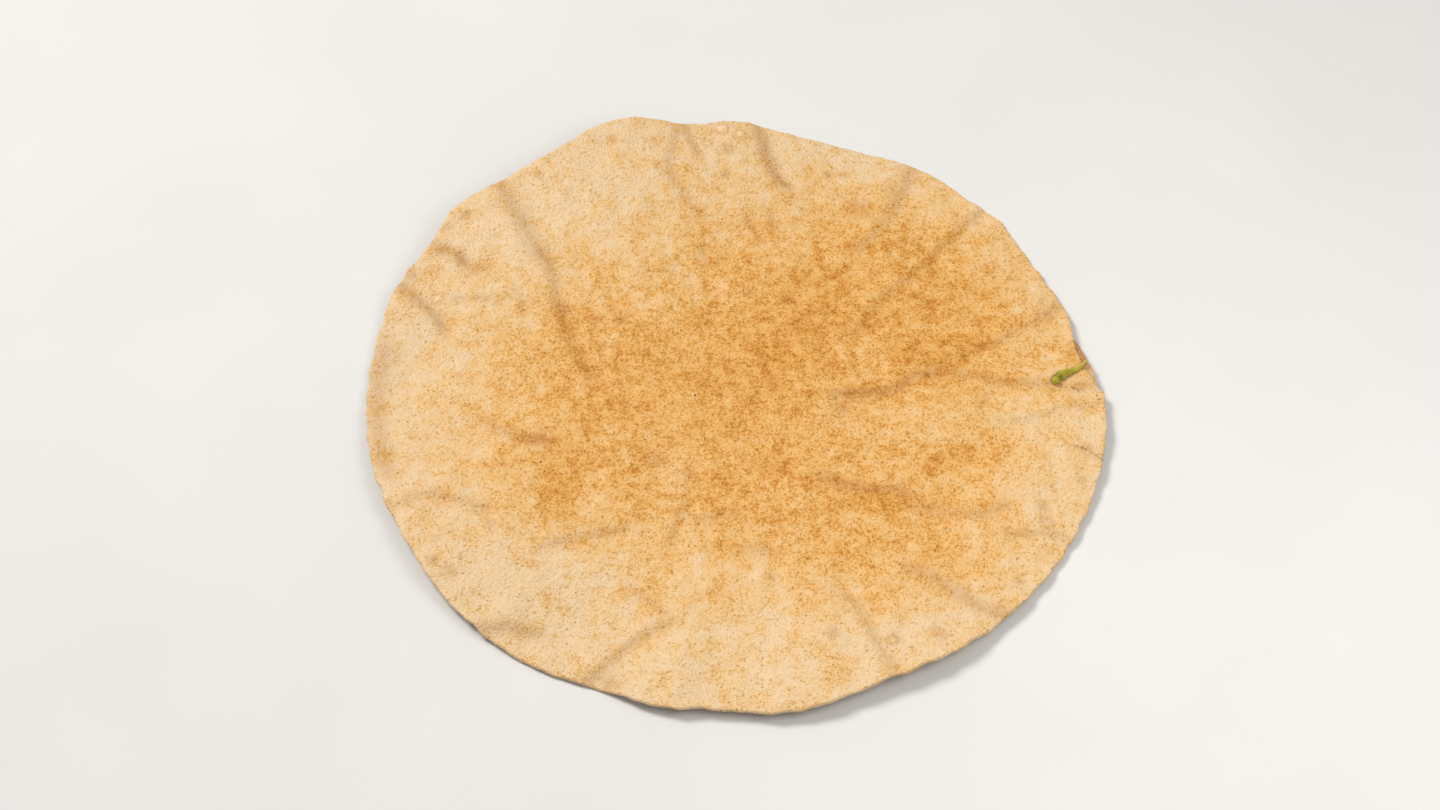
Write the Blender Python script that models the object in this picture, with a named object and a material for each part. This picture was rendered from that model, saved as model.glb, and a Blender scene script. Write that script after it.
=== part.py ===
"""A fried poppadom about 190 mm across, with a curled sliver of green herb lying near its rim.

The poppadom is one thin, rippled crisp. Its outline and the height of its rim are smooth closed curves
through the points of RIM. Creases and low bulges lie where the real one has them, broad shallow swells
cover the rest. A piece is chipped off the rim at the right, where the lower layer is left as a ledge, and
a hairline crack runs in below the chip.

The shape is worked out in millimetres. Places on the rim are given as a bearing in degrees, anticlockwise
from +X seen from above, and a radius, and other places as X and Y. The meshes are made in metres.
"""

import math

import bmesh
import bpy
import numpy as np

MM = 0.001

# Sizes of the crisp in millimetres.
THICKNESS = 1.2
CENTRE_HEIGHT = 3.2
EDGE_ROUNDING = 0.35

# The shares of the radius between which the sheet bends from its centre's height towards its rim's.
BEND_START = 0.1
BEND_END = 1.25

# The mesh of each face: rings of points round the centre, and how many points each adds to the last.
RINGS = 21
POINTS_PER_RING = 11.4

# The rim as bearing, radius and height of the crisp's middle layer.
RIM = [
    (-2, 94.8, 3.4),
    (6, 93.4, 3.2),
    (14, 92.0, 2.6),
    (25, 90.9, 1.8),
    (32, 91.5, 1.5),
    (40, 93.6, 1.5),
    (46, 92.4, 1.6),
    (55, 93.9, 1.8),
    (62, 92.1, 1.8),
    (70, 91.3, 2.0),
    (80, 91.4, 3.2),
    (90, 94.0, 4.6),
    (96, 92.8, 5.6),
    (110, 97.0, 8.0),
    (125, 93.4, 8.2),
    (132, 94.0, 7.6),
    (143, 96.7, 6.6),
    (150, 94.8, 5.4),
    (158, 96.4, 3.6),
    (170, 95.7, 1.8),
    (182, 95.0, 2.0),
    (195, 94.6, 3.8),
    (210, 93.9, 4.4),
    (222, 94.8, 3.8),
    (240, 94.6, 1.6),
    (251, 93.4, 2.0),
    (259, 95.0, 3.0),
    (266, 94.1, 3.2),
    (278, 95.7, 3.8),
    (292, 93.6, 4.8),
    (303, 94.3, 4.6),
    (315, 94.3, 3.0),
    (330, 94.5, 1.6),
    (345, 95.0, 2.8),
]

# Each crease: its height, its half width and the points that it runs through, as X and Y. A steep slope
# follows that line, with a crest on the left of it and a trough on the right.
CREASES = [
    (0.45, 2.4, [(-48, 38), (-54.6, 48.3), (-61, 61.5), (-67.5, 73)]),
    (0.30, 1.6, [(-35, -1), (-38.2, 6), (-43.4, 16), (-46.6, 25), (-49.5, 39.5), (-55, 47.7)]),
    (0.35, 1.6, [(-69, 35), (-72, 40.5), (-75, 44.6), (-79.5, 46.5), (-86, 52)]),
    (0.40, 1.5, [(-75, 15), (-78.2, 23), (-83, 28.6), (-89.8, 35.4), (-97, 41)]),
    (0.20, 1.2, [(-8.5, 75), (-10, 80), (-13, 87), (-15, 98)]),
    (0.45, 1.9, [(16, 67), (11.6, 73.5), (9.4, 79), (7.6, 87), (4.5, 98)]),
    (0.35, 1.8, [(29.5, 44), (38, 54), (43, 63.5), (47.2, 73), (52, 84)]),
    (0.35, 1.3, [(25.5, 14.8), (32.6, 20.6), (36.7, 29), (45, 37), (55.4, 49.1), (62.4, 57.5), (73, 69)]),
    (0.32, 1.3, [(47, 3.5), (52, 7.7), (65, 14.5), (75, 20.2), (84.3, 27.2), (94, 33)]),
    (0.40, 1.4, [(47, 4.6), (55, 5.4), (62, 4.2), (70, 2.3), (86, 1.4), (99, 1)]),
    (0.40, 1.5, [(20, -1.5), (33, -1), (41, 0.3), (46, 4.2), (55, 6)]),
    (0.25, 1.4, [(17, -25), (27, -29.4), (33, -31.3), (39, -30.8), (48, -34.5)]),
    (0.20, 1.5, [(36, -34), (50, -37.2), (61, -38.2), (71, -33)]),
    (0.30, 1.6, [(37, -53), (46, -56.8), (51.3, -60.4), (57, -64.6), (63, -67.6), (77, -70)]),
    (0.25, 1.4, [(39, -90), (33.8, -78), (30.5, -70.5), (28, -65), (20, -58.8)]),
    (0.35, 1.4, [(-42, -93), (-34, -84), (-24, -74.3), (-13, -68.3)]),
    (0.40, 2.0, [(-69, -74.5), (-59, -71.3), (-52, -71.7), (-43, -75)]),
    (0.32, 1.4, [(-95, -42), (-84, -36.4), (-77, -33), (-68, -35.6), (-57, -38)]),
    (0.20, 1.3, [(-52, -50.5), (-44, -47), (-34, -44.3), (-24, -42)]),
    (0.20, 1.3, [(-67, -5), (-62.8, -11), (-55, -15.5), (-43, -17)]),
]

# The narrowest half width that this mesh can follow, how many straight runs lie between two points of a
# crease, how steep its slope is, how many half widths the crest and trough reach, and the length over which
# a crease dies out at each end.
NARROWEST = 2.2
RUNS_A_SPAN = 4
CREASE_STEEPNESS = 1.2
CREASE_REACH = 2.6
CREASE_END = 8.0

# Low bulges of the sheet: X, Y, half length, half width, turn in degrees and height.
BULGES = [
    (67, -38, 10, 8, -50, 0.9),
    (32, 49, 8, 5, 0, 0.5),
    (-69, 32, 9, 4, -10, 0.45),
    (20, -75, 15, 4.5, 95, 0.5),
    (-14, -84, 12, 4.5, 80, 0.4),
    (52, -10, 8, 7, 0, 0.6),
    (78, -12, 9, 6, 0, 0.5),
    (-24, -39, 6, 4, 0, 0.3),
]

# Broad swells of the sheet, as a height and a wavelength.
SWELLS = [(0.16, 26.0), (0.06, 12.0)]
WAVES_IN_A_SWELL = 20
WAVE_SPREAD = (0.75, 1.35)
SEED = 7

# The chipped stretch of the rim, as bearing and radius. The upper layer broke off further in than the
# lower one, so a ledge is left between the two lines. Its height falls towards +Y.
CHIP_EDGE = [
    (18.5, 92.6),
    (14, 90.8),
    (11.2, 90.3),
    (10, 91.1),
    (8, 91.6),
    (6.3, 92.2),
    (4.5, 92.8),
    (2.4, 93.1),
    (0.9, 93.3),
    (-0.2, 94.0),
    (-0.3, 96.5),
]
LEDGE_EDGE = [
    (12.2, 91.0),
    (11, 90.1),
    (8, 89.9),
    (6.3, 90.3),
    (3.2, 91.5),
    (2.4, 92.1),
    (0.9, 92.8),
    (0.1, 94.3),
]
LEDGE_HEIGHT = 3.4
LEDGE_FALL = 0.035
CHIP_REACH = 100.0

# The crack below the chip, as bearing and radius.
CRACK = [(-14.2, 96.5), (-12.9, 94.2), (-12.2, 91.6), (-11.9, 89.1), (-11.6, 86.2)]
CRACK_WIDTH = 0.3
CRACK_END_WIDTH = 0.12
CUT_DEPTH = 20.0

# The herb sliver: its middle line as X and Y from the curled end to the tip, its half widths at those
# points, and how its wide end rounds off, its edges curl up and its blade ripples along its length.
SLIVER_LINE = [(81.7, 1.4), (82.9, 3.1), (84.8, 4.5), (87.8, 6.0), (89.9, 7.4), (91.3, 9.2)]
SLIVER_HALF_WIDTHS = [0.85, 1.2, 1.1, 0.7, 0.6, 0.28]
SLIVER_THICKNESS = 0.4
SLIVER_GAP = 0.3
SLIVER_END = (0.45, 0.12)
SLIVER_CURL = 0.85
SLIVER_CURL_RANGE = (0.75, 0.1)
SLIVER_RIPPLE = 0.12
SLIVER_RIPPLE_RATE = 9.0
SLIVER_SMOOTHING = 3
SLIVER_ALONG = 18
SLIVER_ACROSS = 6

CRISP_COLOUR = (0.80, 0.47, 0.17, 1.0)
HERB_COLOUR = (0.36, 0.31, 0.035, 1.0)


def ease(start, end, value):
    """Rises smoothly from 0 at start to 1 at end, or falls where end is the smaller."""
    part = np.clip((value - start) / (end - start), 0.0, 1.0)
    return part * part * (3.0 - 2.0 * part)


def rim_curve(column, bearing):
    """The smooth closed curve through one column of RIM, a cubic between each two rows."""
    at = np.array([row[0] for row in RIM], float)
    value = np.array([row[column] for row in RIM])
    at = np.concatenate([at[-2:] - 360.0, at, at[:2] + 360.0])
    value = np.concatenate([value[-2:], value, value[:2]])
    slope = np.gradient(value, at)
    bearing = np.mod(bearing - at[2], 360.0) + at[2]
    row = np.searchsorted(at, bearing, side="right") - 1
    gap = at[row + 1] - at[row]
    part = (bearing - at[row]) / gap
    rise = part * part * (3.0 - 2.0 * part)
    level = value[row] + rise * (value[row + 1] - value[row])
    lead = part * (1.0 - part) ** 2 * gap * slope[row]
    tail = part**2 * (1.0 - part) * gap * slope[row + 1]
    return level + lead - tail


def swell(x, y, length, seed):
    """An even pattern of crossing waves with heights of about 1, and about this wavelength."""
    draw = np.random.default_rng(seed)
    total = np.zeros_like(x)
    for _ in range(WAVES_IN_A_SWELL):
        heading = draw.uniform(0.0, 2.0 * math.pi)
        rate = 2.0 * math.pi / (length * draw.uniform(*WAVE_SPREAD))
        phase = draw.uniform(0.0, 2.0 * math.pi)
        total += np.sin(rate * (x * math.cos(heading) + y * math.sin(heading)) + phase)
    return total * math.sqrt(2.0 / WAVES_IN_A_SWELL)


def plan_point(bearing, radius):
    angle = math.radians(bearing)
    return np.array([math.cos(angle), math.sin(angle)]) * radius


def smooth_line(points):
    """Points along a smooth curve through the given ones."""
    line = np.array(points, float)
    line = np.concatenate([[2.0 * line[0] - line[1]], line, [2.0 * line[-1] - line[-2]]])
    part = np.arange(RUNS_A_SPAN)[:, None] / RUNS_A_SPAN
    spans = []
    for before, start, end, after in zip(line, line[1:], line[2:], line[3:]):
        second = 2.0 * before - 5.0 * start + 4.0 * end - after
        third = 3.0 * start - before - 3.0 * end + after
        spans.append(start + 0.5 * ((end - before) * part + second * part**2 + third * part**3))
    return np.concatenate(spans + [line[-2:-1]])


def across_line(x, y, points):
    """Distance of each point from a smooth line, positive on its left, and the line's strength beside it."""
    line = smooth_line(points)
    lengths = np.linalg.norm(np.diff(line, axis=0), axis=1)
    starts = np.concatenate([[0.0], np.cumsum(lengths)])
    nearest = np.full_like(x, np.inf)
    offset = np.zeros_like(x)
    along = np.zeros_like(x)
    for step, length in enumerate(lengths):
        run = (line[step + 1] - line[step]) / length
        from_x, from_y = x - line[step, 0], y - line[step, 1]
        reach = np.clip(from_x * run[0] + from_y * run[1], 0.0, length)
        distance = np.hypot(from_x - reach * run[0], from_y - reach * run[1])
        closer = distance < nearest
        nearest = np.where(closer, distance, nearest)
        offset = np.where(closer, np.sign(run[0] * from_y - run[1] * from_x) * distance, offset)
        along = np.where(closer, starts[step] + reach, along)
    end = min(CREASE_END, starts[-1] / 2)
    strength = ease(0.0, end, along) * ease(starts[-1], starts[-1] - end, along)
    return offset, strength


def crease(x, y, height, width, points):
    """Height that one crease adds: a crest on the left of its line and a trough on the right."""
    offset, strength = across_line(x, y, points)
    across = offset / max(width, NARROWEST)
    profile = np.tanh(CREASE_STEEPNESS * across) * np.exp(-0.5 * (across / CREASE_REACH) ** 2)
    return height * strength * profile


def bulge(x, y, centre_x, centre_y, length, width, turn, height):
    cosine, sine = math.cos(math.radians(turn)), math.sin(math.radians(turn))
    along = ((x - centre_x) * cosine + (y - centre_y) * sine) / length
    across = ((y - centre_y) * cosine - (x - centre_x) * sine) / width
    return height * np.exp(-0.5 * (along**2 + across**2))


def middle_height(x, y):
    """Height of the crisp's middle layer, before it is set down on the table."""
    bearing = np.degrees(np.arctan2(y, x))
    bend = ease(BEND_START, BEND_END, np.hypot(x, y) / rim_curve(1, bearing))
    bend /= ease(BEND_START, BEND_END, 1.0)
    height = CENTRE_HEIGHT + (rim_curve(2, bearing) - CENTRE_HEIGHT) * bend
    for row in CREASES:
        height = height + crease(x, y, *row)
    for row in BULGES:
        height = height + bulge(x, y, *row)
    for number, (rise, length) in enumerate(SWELLS):
        height = height + rise * swell(x, y, length, SEED + number)
    return height


def rings_of_points():
    """Radius share and bearing of each point of the disc, and the point numbers of each ring."""
    share, bearing, rings = [0.0], [0.0], [[0]]
    for ring in range(1, RINGS + 1):
        count = 6 * round(POINTS_PER_RING * ring / 6)
        rings.append(list(range(len(share), len(share) + count)))
        share += [ring / RINGS] * count
        bearing += [360.0 * point / count for point in range(count)]
    return np.array(share), np.array(bearing), rings


def band(inner, outer):
    """Triangles between two rings of points that may differ in number, both anticlockwise from bearing 0."""
    triangles = []
    i, o = 0, 0
    while o < len(outer) or (i < len(inner) and len(inner) > 1):
        here_in, here_out = inner[i % len(inner)], outer[o % len(outer)]
        if len(inner) == 1 or (o + 1) * len(inner) <= (i + 1) * len(outer):
            triangles.append((here_in, here_out, outer[(o + 1) % len(outer)]))
            o += 1
        else:
            triangles.append((here_in, here_out, inner[(i + 1) % len(inner)]))
            i += 1
    return triangles


def crisp_points():
    """Points of the upper face, the lower face and the rounded rim, and all the triangles between them."""
    share, bearing, rings = rings_of_points()
    radius = rim_curve(1, bearing)
    angle = np.radians(bearing)
    face_radius = share * (radius - EDGE_ROUNDING)
    x, y = face_radius * np.cos(angle), face_radius * np.sin(angle)
    height = middle_height(x, y)
    upper = np.column_stack([x, y, height + THICKNESS / 2])
    lower = np.column_stack([x, y, height - THICKNESS / 2])
    last = rings[-1]
    edge_x = radius[last] * np.cos(angle[last])
    edge_y = radius[last] * np.sin(angle[last])
    edge = np.column_stack([edge_x, edge_y, middle_height(edge_x, edge_y)])
    triangles = [triangle for ring in range(RINGS) for triangle in band(rings[ring], rings[ring + 1])]
    total = len(upper)
    rim = list(range(2 * total, 2 * total + len(last)))
    underside = [point + total for point in last]
    faces = list(triangles)
    faces += [(a + total, c + total, b + total) for a, b, c in triangles]
    faces += band(last, rim)
    faces += band(rim, underside)
    return np.concatenate([upper, lower, edge]), faces


def sliver_points(top_height):
    """Points and triangles of the herb sliver: two wavy faces joined round their edge, edges curled up."""
    knots = np.linspace(0.0, 1.0, len(SLIVER_LINE))
    along = np.linspace(0.0, 1.0, SLIVER_ALONG + 1)
    line = np.array(SLIVER_LINE)
    middle = np.column_stack([np.interp(along, knots, line[:, 0]), np.interp(along, knots, line[:, 1])])
    for _ in range(SLIVER_SMOOTHING):
        middle[1:-1] = (middle[:-2] + 2.0 * middle[1:-1] + middle[2:]) / 4.0
    run = np.gradient(middle, axis=0)
    run /= np.linalg.norm(run, axis=1)[:, None]
    side = np.column_stack([-run[:, 1], run[:, 0]])
    end_share, end_length = SLIVER_END
    width = np.interp(along, knots, SLIVER_HALF_WIDTHS)
    width *= end_share + (1.0 - end_share) * ease(0.0, end_length, along)
    across = np.linspace(-1.0, 1.0, SLIVER_ACROSS + 1)
    plan = middle[:, None, :] + side[:, None, :] * (width[:, None] * across)[:, :, None]
    curl = SLIVER_CURL * ease(*SLIVER_CURL_RANGE, along)[:, None] * across**2
    ripple = SLIVER_RIPPLE * np.abs(np.sin(SLIVER_RIPPLE_RATE * along)[:, None] * across)
    low = top_height(plan[..., 0], plan[..., 1]).max(axis=1)[:, None] + SLIVER_GAP + curl + ripple
    low_face = np.dstack([plan, low]).reshape(-1, 3)
    high_face = low_face + np.array([0.0, 0.0, SLIVER_THICKNESS])
    rows, columns = SLIVER_ALONG + 1, SLIVER_ACROSS + 1
    total = rows * columns
    faces = []
    for i in range(SLIVER_ALONG):
        for j in range(SLIVER_ACROSS):
            a, b = i * columns + j, (i + 1) * columns + j
            faces += [(a, a + 1, b + 1), (a, b + 1, b)]
            faces += [(total + a, total + b + 1, total + a + 1), (total + a, total + b, total + b + 1)]
    border = list(range(columns))
    border += [i * columns + columns - 1 for i in range(1, rows)]
    border += [(rows - 1) * columns + j for j in range(columns - 2, -1, -1)]
    border += [i * columns for i in range(rows - 2, 0, -1)]
    for here, following in zip(border, border[1:] + border[:1]):
        faces += [(here, total + following, following), (here, total + here, total + following)]
    return np.concatenate([low_face, high_face]), faces


def clear_scene():
    for old in list(bpy.data.objects):
        bpy.data.objects.remove(old)


def material(name, colour, roughness):
    made = bpy.data.materials.new(name)
    made.use_nodes = True
    shader = made.node_tree.nodes["Principled BSDF"]
    shader.inputs["Base Color"].default_value = colour
    shader.inputs["Roughness"].default_value = roughness
    shader.inputs["Metallic"].default_value = 0.0
    return made


def solid(name, points, faces, finish):
    """A smooth-shaded object from points in millimetres, with its faces turned outwards."""
    mesh = bpy.data.meshes.new(name)
    mesh.from_pydata((points * MM).tolist(), [], faces)
    shape = bmesh.new()
    shape.from_mesh(mesh)
    bmesh.ops.recalc_face_normals(shape, faces=shape.faces)
    shape.to_mesh(mesh)
    shape.free()
    mesh.materials.append(finish)
    mesh.shade_smooth()
    made = bpy.data.objects.new(name, mesh)
    bpy.context.scene.collection.objects.link(made)
    return made


def cut(target, name, outline, bottom, shift):
    """Cuts an upright prism out of the target, from its plan outline and the height of its bottom there."""
    count = len(outline)
    low = np.column_stack([outline, bottom]) + shift
    high = low.copy()
    high[:, 2] = CUT_DEPTH
    points = np.concatenate([low, high])
    faces = [tuple(range(count)), tuple(range(2 * count - 1, count - 1, -1))]
    faces += [(i, (i + 1) % count, (i + 1) % count + count, i + count) for i in range(count)]
    cutter = solid(name, points, faces, target.data.materials[0])
    cutter.hide_render = True
    cutter.display_type = "WIRE"
    boolean = target.modifiers.new(name, "BOOLEAN")
    boolean.operation = "DIFFERENCE"
    boolean.solver = "EXACT"
    boolean.object = cutter


def cut_through(target, name, outline, shift):
    cut(target, name, outline, np.full(len(outline), -CUT_DEPTH), shift)


def cut_ledge(target, name, outline, shift):
    """Cuts only the upper layer away, down to a plane that falls towards +Y."""
    cut(target, name, outline, LEDGE_HEIGHT - LEDGE_FALL * np.array(outline)[:, 1], shift)


def broken_outline(edge):
    """The area beyond a broken edge of the rim."""
    beyond = [plan_point(row[0], CHIP_REACH) for row in (edge[-1], edge[len(edge) // 2], edge[0])]
    return [plan_point(*row) for row in edge] + beyond


def crack_outline():
    """A narrow wedge round the crack's line, widest at the rim."""
    line = np.array([plan_point(*row) for row in CRACK])
    run = np.gradient(line, axis=0)
    run /= np.linalg.norm(run, axis=1)[:, None]
    side = np.column_stack([-run[:, 1], run[:, 0]])
    half = np.linspace(CRACK_WIDTH, CRACK_END_WIDTH, len(line))[:, None] / 2
    return list(line + side * half) + list((line - side * half)[::-1])


def build():
    clear_scene()
    points, faces = crisp_points()
    low, high = points.min(axis=0), points.max(axis=0)
    shift = -np.array([(low[0] + high[0]) / 2, (low[1] + high[1]) / 2, low[2]])
    crisp = solid("poppadom", points + shift, faces, material("fried_crisp", CRISP_COLOUR, 0.6))
    cut_through(crisp, "chip_cutter", broken_outline(CHIP_EDGE), shift)
    cut_ledge(crisp, "ledge_cutter", broken_outline(LEDGE_EDGE), shift)
    cut_through(crisp, "crack_cutter", crack_outline(), shift)

    def top_height(x, y):
        return middle_height(x, y) + THICKNESS / 2

    points, faces = sliver_points(top_height)
    solid("herb_sliver", points + shift, faces, material("herb_leaf", HERB_COLOUR, 0.45))


build()
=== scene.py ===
"""The looks of a fried poppadom with a curled sliver of green herb near its rim.

Two fine meshes replace the plain solids of the crisp and the herb. They follow the solids' curves, worked out
here again in millimetres. A place on the rim is a bearing in degrees, anticlockwise from +X seen from above,
and a radius; other places are X and Y. Narrow creases, blisters, pits, the crack, the ledge at the chip and
the uneven rim are in the mesh. So is the browning, as a value at each point, partly painted shade along the
creases, with painted shade and highlights at the blisters; the material adds grain and more painted shade.
"""

import math

import bpy
import numpy as np
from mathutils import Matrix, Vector


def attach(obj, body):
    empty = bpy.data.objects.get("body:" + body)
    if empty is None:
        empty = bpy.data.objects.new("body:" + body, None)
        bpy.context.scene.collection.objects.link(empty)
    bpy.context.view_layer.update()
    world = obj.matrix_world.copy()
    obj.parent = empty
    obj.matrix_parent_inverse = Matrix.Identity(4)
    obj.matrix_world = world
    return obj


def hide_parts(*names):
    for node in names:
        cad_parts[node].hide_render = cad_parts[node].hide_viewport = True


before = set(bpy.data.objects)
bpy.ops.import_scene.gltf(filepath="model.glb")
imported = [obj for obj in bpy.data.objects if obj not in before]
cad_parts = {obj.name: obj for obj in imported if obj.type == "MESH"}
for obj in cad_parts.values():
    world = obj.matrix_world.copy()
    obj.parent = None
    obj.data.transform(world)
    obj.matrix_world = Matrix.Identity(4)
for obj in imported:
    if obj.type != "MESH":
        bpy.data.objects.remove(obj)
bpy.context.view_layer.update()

MM = 0.001
FULL_TURN = 2 * math.pi

# Sizes of the crisp in millimetres, as in its solid. It bends up to the rim along a curve that starts at
# BEND_START of the way out and would level off at BEND_END. Each ring of the solid has SOLID_RING_STEP
# points more.
THICKNESS = 1.2
CENTRE_HEIGHT = 3.2
EDGE_ROUNDING = 0.35
BEND_START = 0.1
BEND_END = 1.25
SOLID_RINGS = 21
SOLID_RING_STEP = 11.4

# The rim as bearing, radius and height of the crisp's middle layer.
RIM = [
    (-2, 94.8, 3.4), (6, 93.4, 3.2), (14, 92, 2.6), (25, 90.9, 1.8), (32, 91.5, 1.5), (40, 93.6, 1.5),
    (46, 92.4, 1.6), (55, 93.9, 1.8), (62, 92.1, 1.8), (70, 91.3, 2), (80, 91.4, 3.2), (90, 94, 4.6),
    (96, 92.8, 5.6), (110, 97, 8), (125, 93.4, 8.2), (132, 94, 7.6), (143, 96.7, 6.6),
    (150, 94.8, 5.4), (158, 96.4, 3.6), (170, 95.7, 1.8), (182, 95, 2), (195, 94.6, 3.8),
    (210, 93.9, 4.4), (222, 94.8, 3.8), (240, 94.6, 1.6), (251, 93.4, 2), (259, 95, 3),
    (266, 94.1, 3.2), (278, 95.7, 3.8), (292, 93.6, 4.8), (303, 94.3, 4.6), (315, 94.3, 3),
    (330, 94.5, 1.6), (345, 95, 2.8),
]

# Each crease: height, half width, a brown line along it, partly browning and partly painted shade in the
# fold, and the points that the line runs through. A steep slope follows the line, with a crest on its left
# and a trough on its right. The solid has those at least SOLID_LEAST high, and none narrower than
# SOLID_NARROWEST.
CREASES = [
    (0.45, 2.4, 0.14, [(-48, 38), (-54.6, 48.3), (-61, 61.5), (-67.5, 73)]),
    (0.30, 1.6, 0.12, [(-35, -1), (-38.2, 6), (-43.4, 16), (-46.6, 25), (-49.5, 39.5), (-55, 47.7)]),
    (0.35, 1.6, 0.16, [(-69, 35), (-72, 40.5), (-75, 44.6), (-79.5, 46.5), (-86, 52)]),
    (0.40, 1.5, 0.22, [(-75, 15), (-78.2, 23), (-83, 28.6), (-89.8, 35.4), (-97, 41)]),
    (0.20, 1.2, 0.16, [(-8.5, 75), (-10, 80), (-13, 87), (-15, 98)]),
    (0.45, 1.9, 0.20, [(16, 67), (11.6, 73.5), (9.4, 79), (7.6, 87), (4.5, 98)]),
    (0.35, 1.8, 0.08, [(29.5, 44), (38, 54), (43, 63.5), (47.2, 73), (52, 84)]),
    (0.35, 1.3, 0.08, [(25.5, 14.8), (32.6, 20.6), (36.7, 29), (45, 37), (55.4, 49.1), (62.4, 57.5),
        (73, 69)]),
    (0.32, 1.3, 0.08, [(47, 3.5), (52, 7.7), (65, 14.5), (75, 20.2), (84.3, 27.2), (94, 33)]),
    (0.40, 1.4, 0.13, [(47, 4.6), (55, 5.4), (62, 4.2), (70, 2.3), (86, 1.4), (99, 1)]),
    (0.40, 1.5, 0.19, [(20, -1.5), (33, -1), (41, 0.3), (46, 4.2), (55, 6)]),
    (0.25, 1.4, 0.19, [(17, -25), (27, -29.4), (33, -31.3), (39, -30.8), (48, -34.5)]),
    (0.20, 1.5, 0.12, [(36, -34), (50, -37.2), (61, -38.2), (71, -33)]),
    (0.30, 1.6, 0.18, [(37, -53), (46, -56.8), (51.3, -60.4), (57, -64.6), (63, -67.6), (77, -70)]),
    (0.25, 1.4, 0.13, [(39, -90), (33.8, -78), (30.5, -70.5), (28, -65), (20, -58.8)]),
    (0.35, 1.4, 0.12, [(-42, -93), (-34, -84), (-24, -74.3), (-13, -68.3)]),
    (0.40, 2, 0.15, [(-69, -74.5), (-59, -71.3), (-52, -71.7), (-43, -75)]),
    (0.32, 1.4, 0.07, [(-95, -42), (-84, -36.4), (-77, -33), (-68, -35.6), (-57, -38)]),
    (0.20, 1.3, 0.11, [(-52, -50.5), (-44, -47), (-34, -44.3), (-24, -42)]),
    (0.20, 1.3, 0.14, [(-67, -5), (-62.8, -11), (-55, -15.5), (-43, -17)]),
    (0.10, 1, 0.10, [(-80, 31), (-73, 29.8), (-67, 30), (-60, 27.5)]),
    (0.12, 1.1, 0.10, [(-55.3, 20), (-57, 29), (-60, 36)]),
    (0.15, 1.3, 0.10, [(-6.5, 55), (-12, 62), (-17.2, 71), (-18, 79.6), (-15, 97)]),
    (0.10, 1.1, 0.10, [(-7, 38), (-8.8, 45), (-9.5, 53)]),
    (0.15, 1.2, 0.12, [(12, 50), (9.4, 59), (5.5, 67)]),
    (0.15, 1.4, 0.10, [(8, 47), (5, 54), (2, 63)]),
    (0.12, 1, 0.09, [(63, -10.4), (76, -9.3), (84, -6), (99, -3)]),
    (0.15, 1.1, 0.10, [(61, -11), (62.6, -6), (65, -1.5), (69, 2)]),
    (0.15, 1.1, 0.13, [(62, -43.5), (69, -44), (76, -44), (88, -46)]),
    (0.15, 1.5, 0.14, [(-2, -51.5), (5, -48.7), (13, -53.5)]),
    (0.15, 1.1, 0.11, [(-15, -71), (-20, -65), (-30, -56)]),
    (0.18, 1.1, 0.07, [(-19.5, -52.5), (-16.6, -45.4), (-13.3, -37), (-11.6, -27)]),
    (0.10, 1.1, 0.14, [(-16, -39.5), (-6, -39.6), (4, -37)]),
    # No height: only a darker line along the left rim, painted shade.
    (0, 2.2, 0.16, [(-85, -33), (-90.5, -16), (-92.5, 3), (-91, 22)]),
]
SOLID_LEAST = 0.2
SOLID_NARROWEST = 2.2
# Straight runs between two points of a line, how steep a crease is, how many half widths its slope reaches,
# and the length over which its ends fade.
RUNS_A_SPAN = 4
CREASE_STEEPNESS = 1.2
CREASE_REACH = 2.6
CREASE_END = 8
# How much higher creases are than in the solid, as the fine mesh can follow them, and their brown line,
# partly
# painted shade: half width as a share of the crease's, and strength.
CREASE_RELIEF = 1.22
CREASE_BROWN_AND_SHADE_LINE = (0.85, 1.1)

# Low bulges of the sheet: X, Y, half length, half width, turn in degrees and height.
BULGES = [
    (67, -38, 10, 8, -50, 0.9), (32, 49, 8, 5, 0, 0.5), (-69, 32, 9, 4, -10, 0.45),
    (20, -75, 15, 4.5, 95, 0.5), (-14, -84, 12, 4.5, 80, 0.4), (52, -10, 8, 7, 0, 0.6),
    (78, -12, 9, 6, 0, 0.5), (-24, -39, 6, 4, 0, 0.3),
]

# Broad swells of the sheet, as a height and a wavelength.
SWELLS = [(0.16, 26), (0.06, 12)]
WAVES_IN_A_SWELL = 20
WAVE_SPREAD = (0.75, 1.35)
WAVE_HEIGHT = math.sqrt(2 / WAVES_IN_A_SWELL)
SEED = 7
# Where the random draws of each pattern start, and what is added for each pattern of a face.
SEEDS = {"rim": 27, "broken": 37, "ruffle": 42, "upper": 47, "lower": 67, "edge": 87}
FACE_SEEDS = {"relief": 0, "streaks": 5, "small": 10, "mottles": 15}

# The chipped stretch of the rim, as bearing and radius: the lower layer's edge, and the upper layer's, which
# broke off further in and left a ledge.
CHIP_EDGE = [
    (18.5, 92.6), (14, 90.8), (11.2, 90.3), (10, 91.1), (8, 91.6), (6.3, 92.2), (4.5, 92.8), (2.4, 93.1),
    (0.9, 93.3), (-0.2, 94), (-0.3, 96.5),
]
LEDGE_EDGE = [
    (18.5, 92.6), (14, 90.8), (11, 90.1), (8, 89.9), (6.3, 90.3), (3.2, 91.5), (2.4, 92.1), (0.9, 92.8),
    (-0.2, 94), (-0.3, 96.5),
]
# How far apart the layers' edges are where the ledge starts and where it is full.
LEDGE_RANGE = (0.15, 0.6)
# The ledge from top to bottom, as one row for each row of points on the rim: share of the way from the upper
# edge to the lower one, height as a share of half the thickness, and share of the ledge's colour.
LEDGE_PROFILE = [
    (0.04, 0.75, 0.3), (0.14, 0.10, 1), (0.88, 0, 1), (1, -0.25, 0.9), (1, -0.75, 0.5),
]

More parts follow.
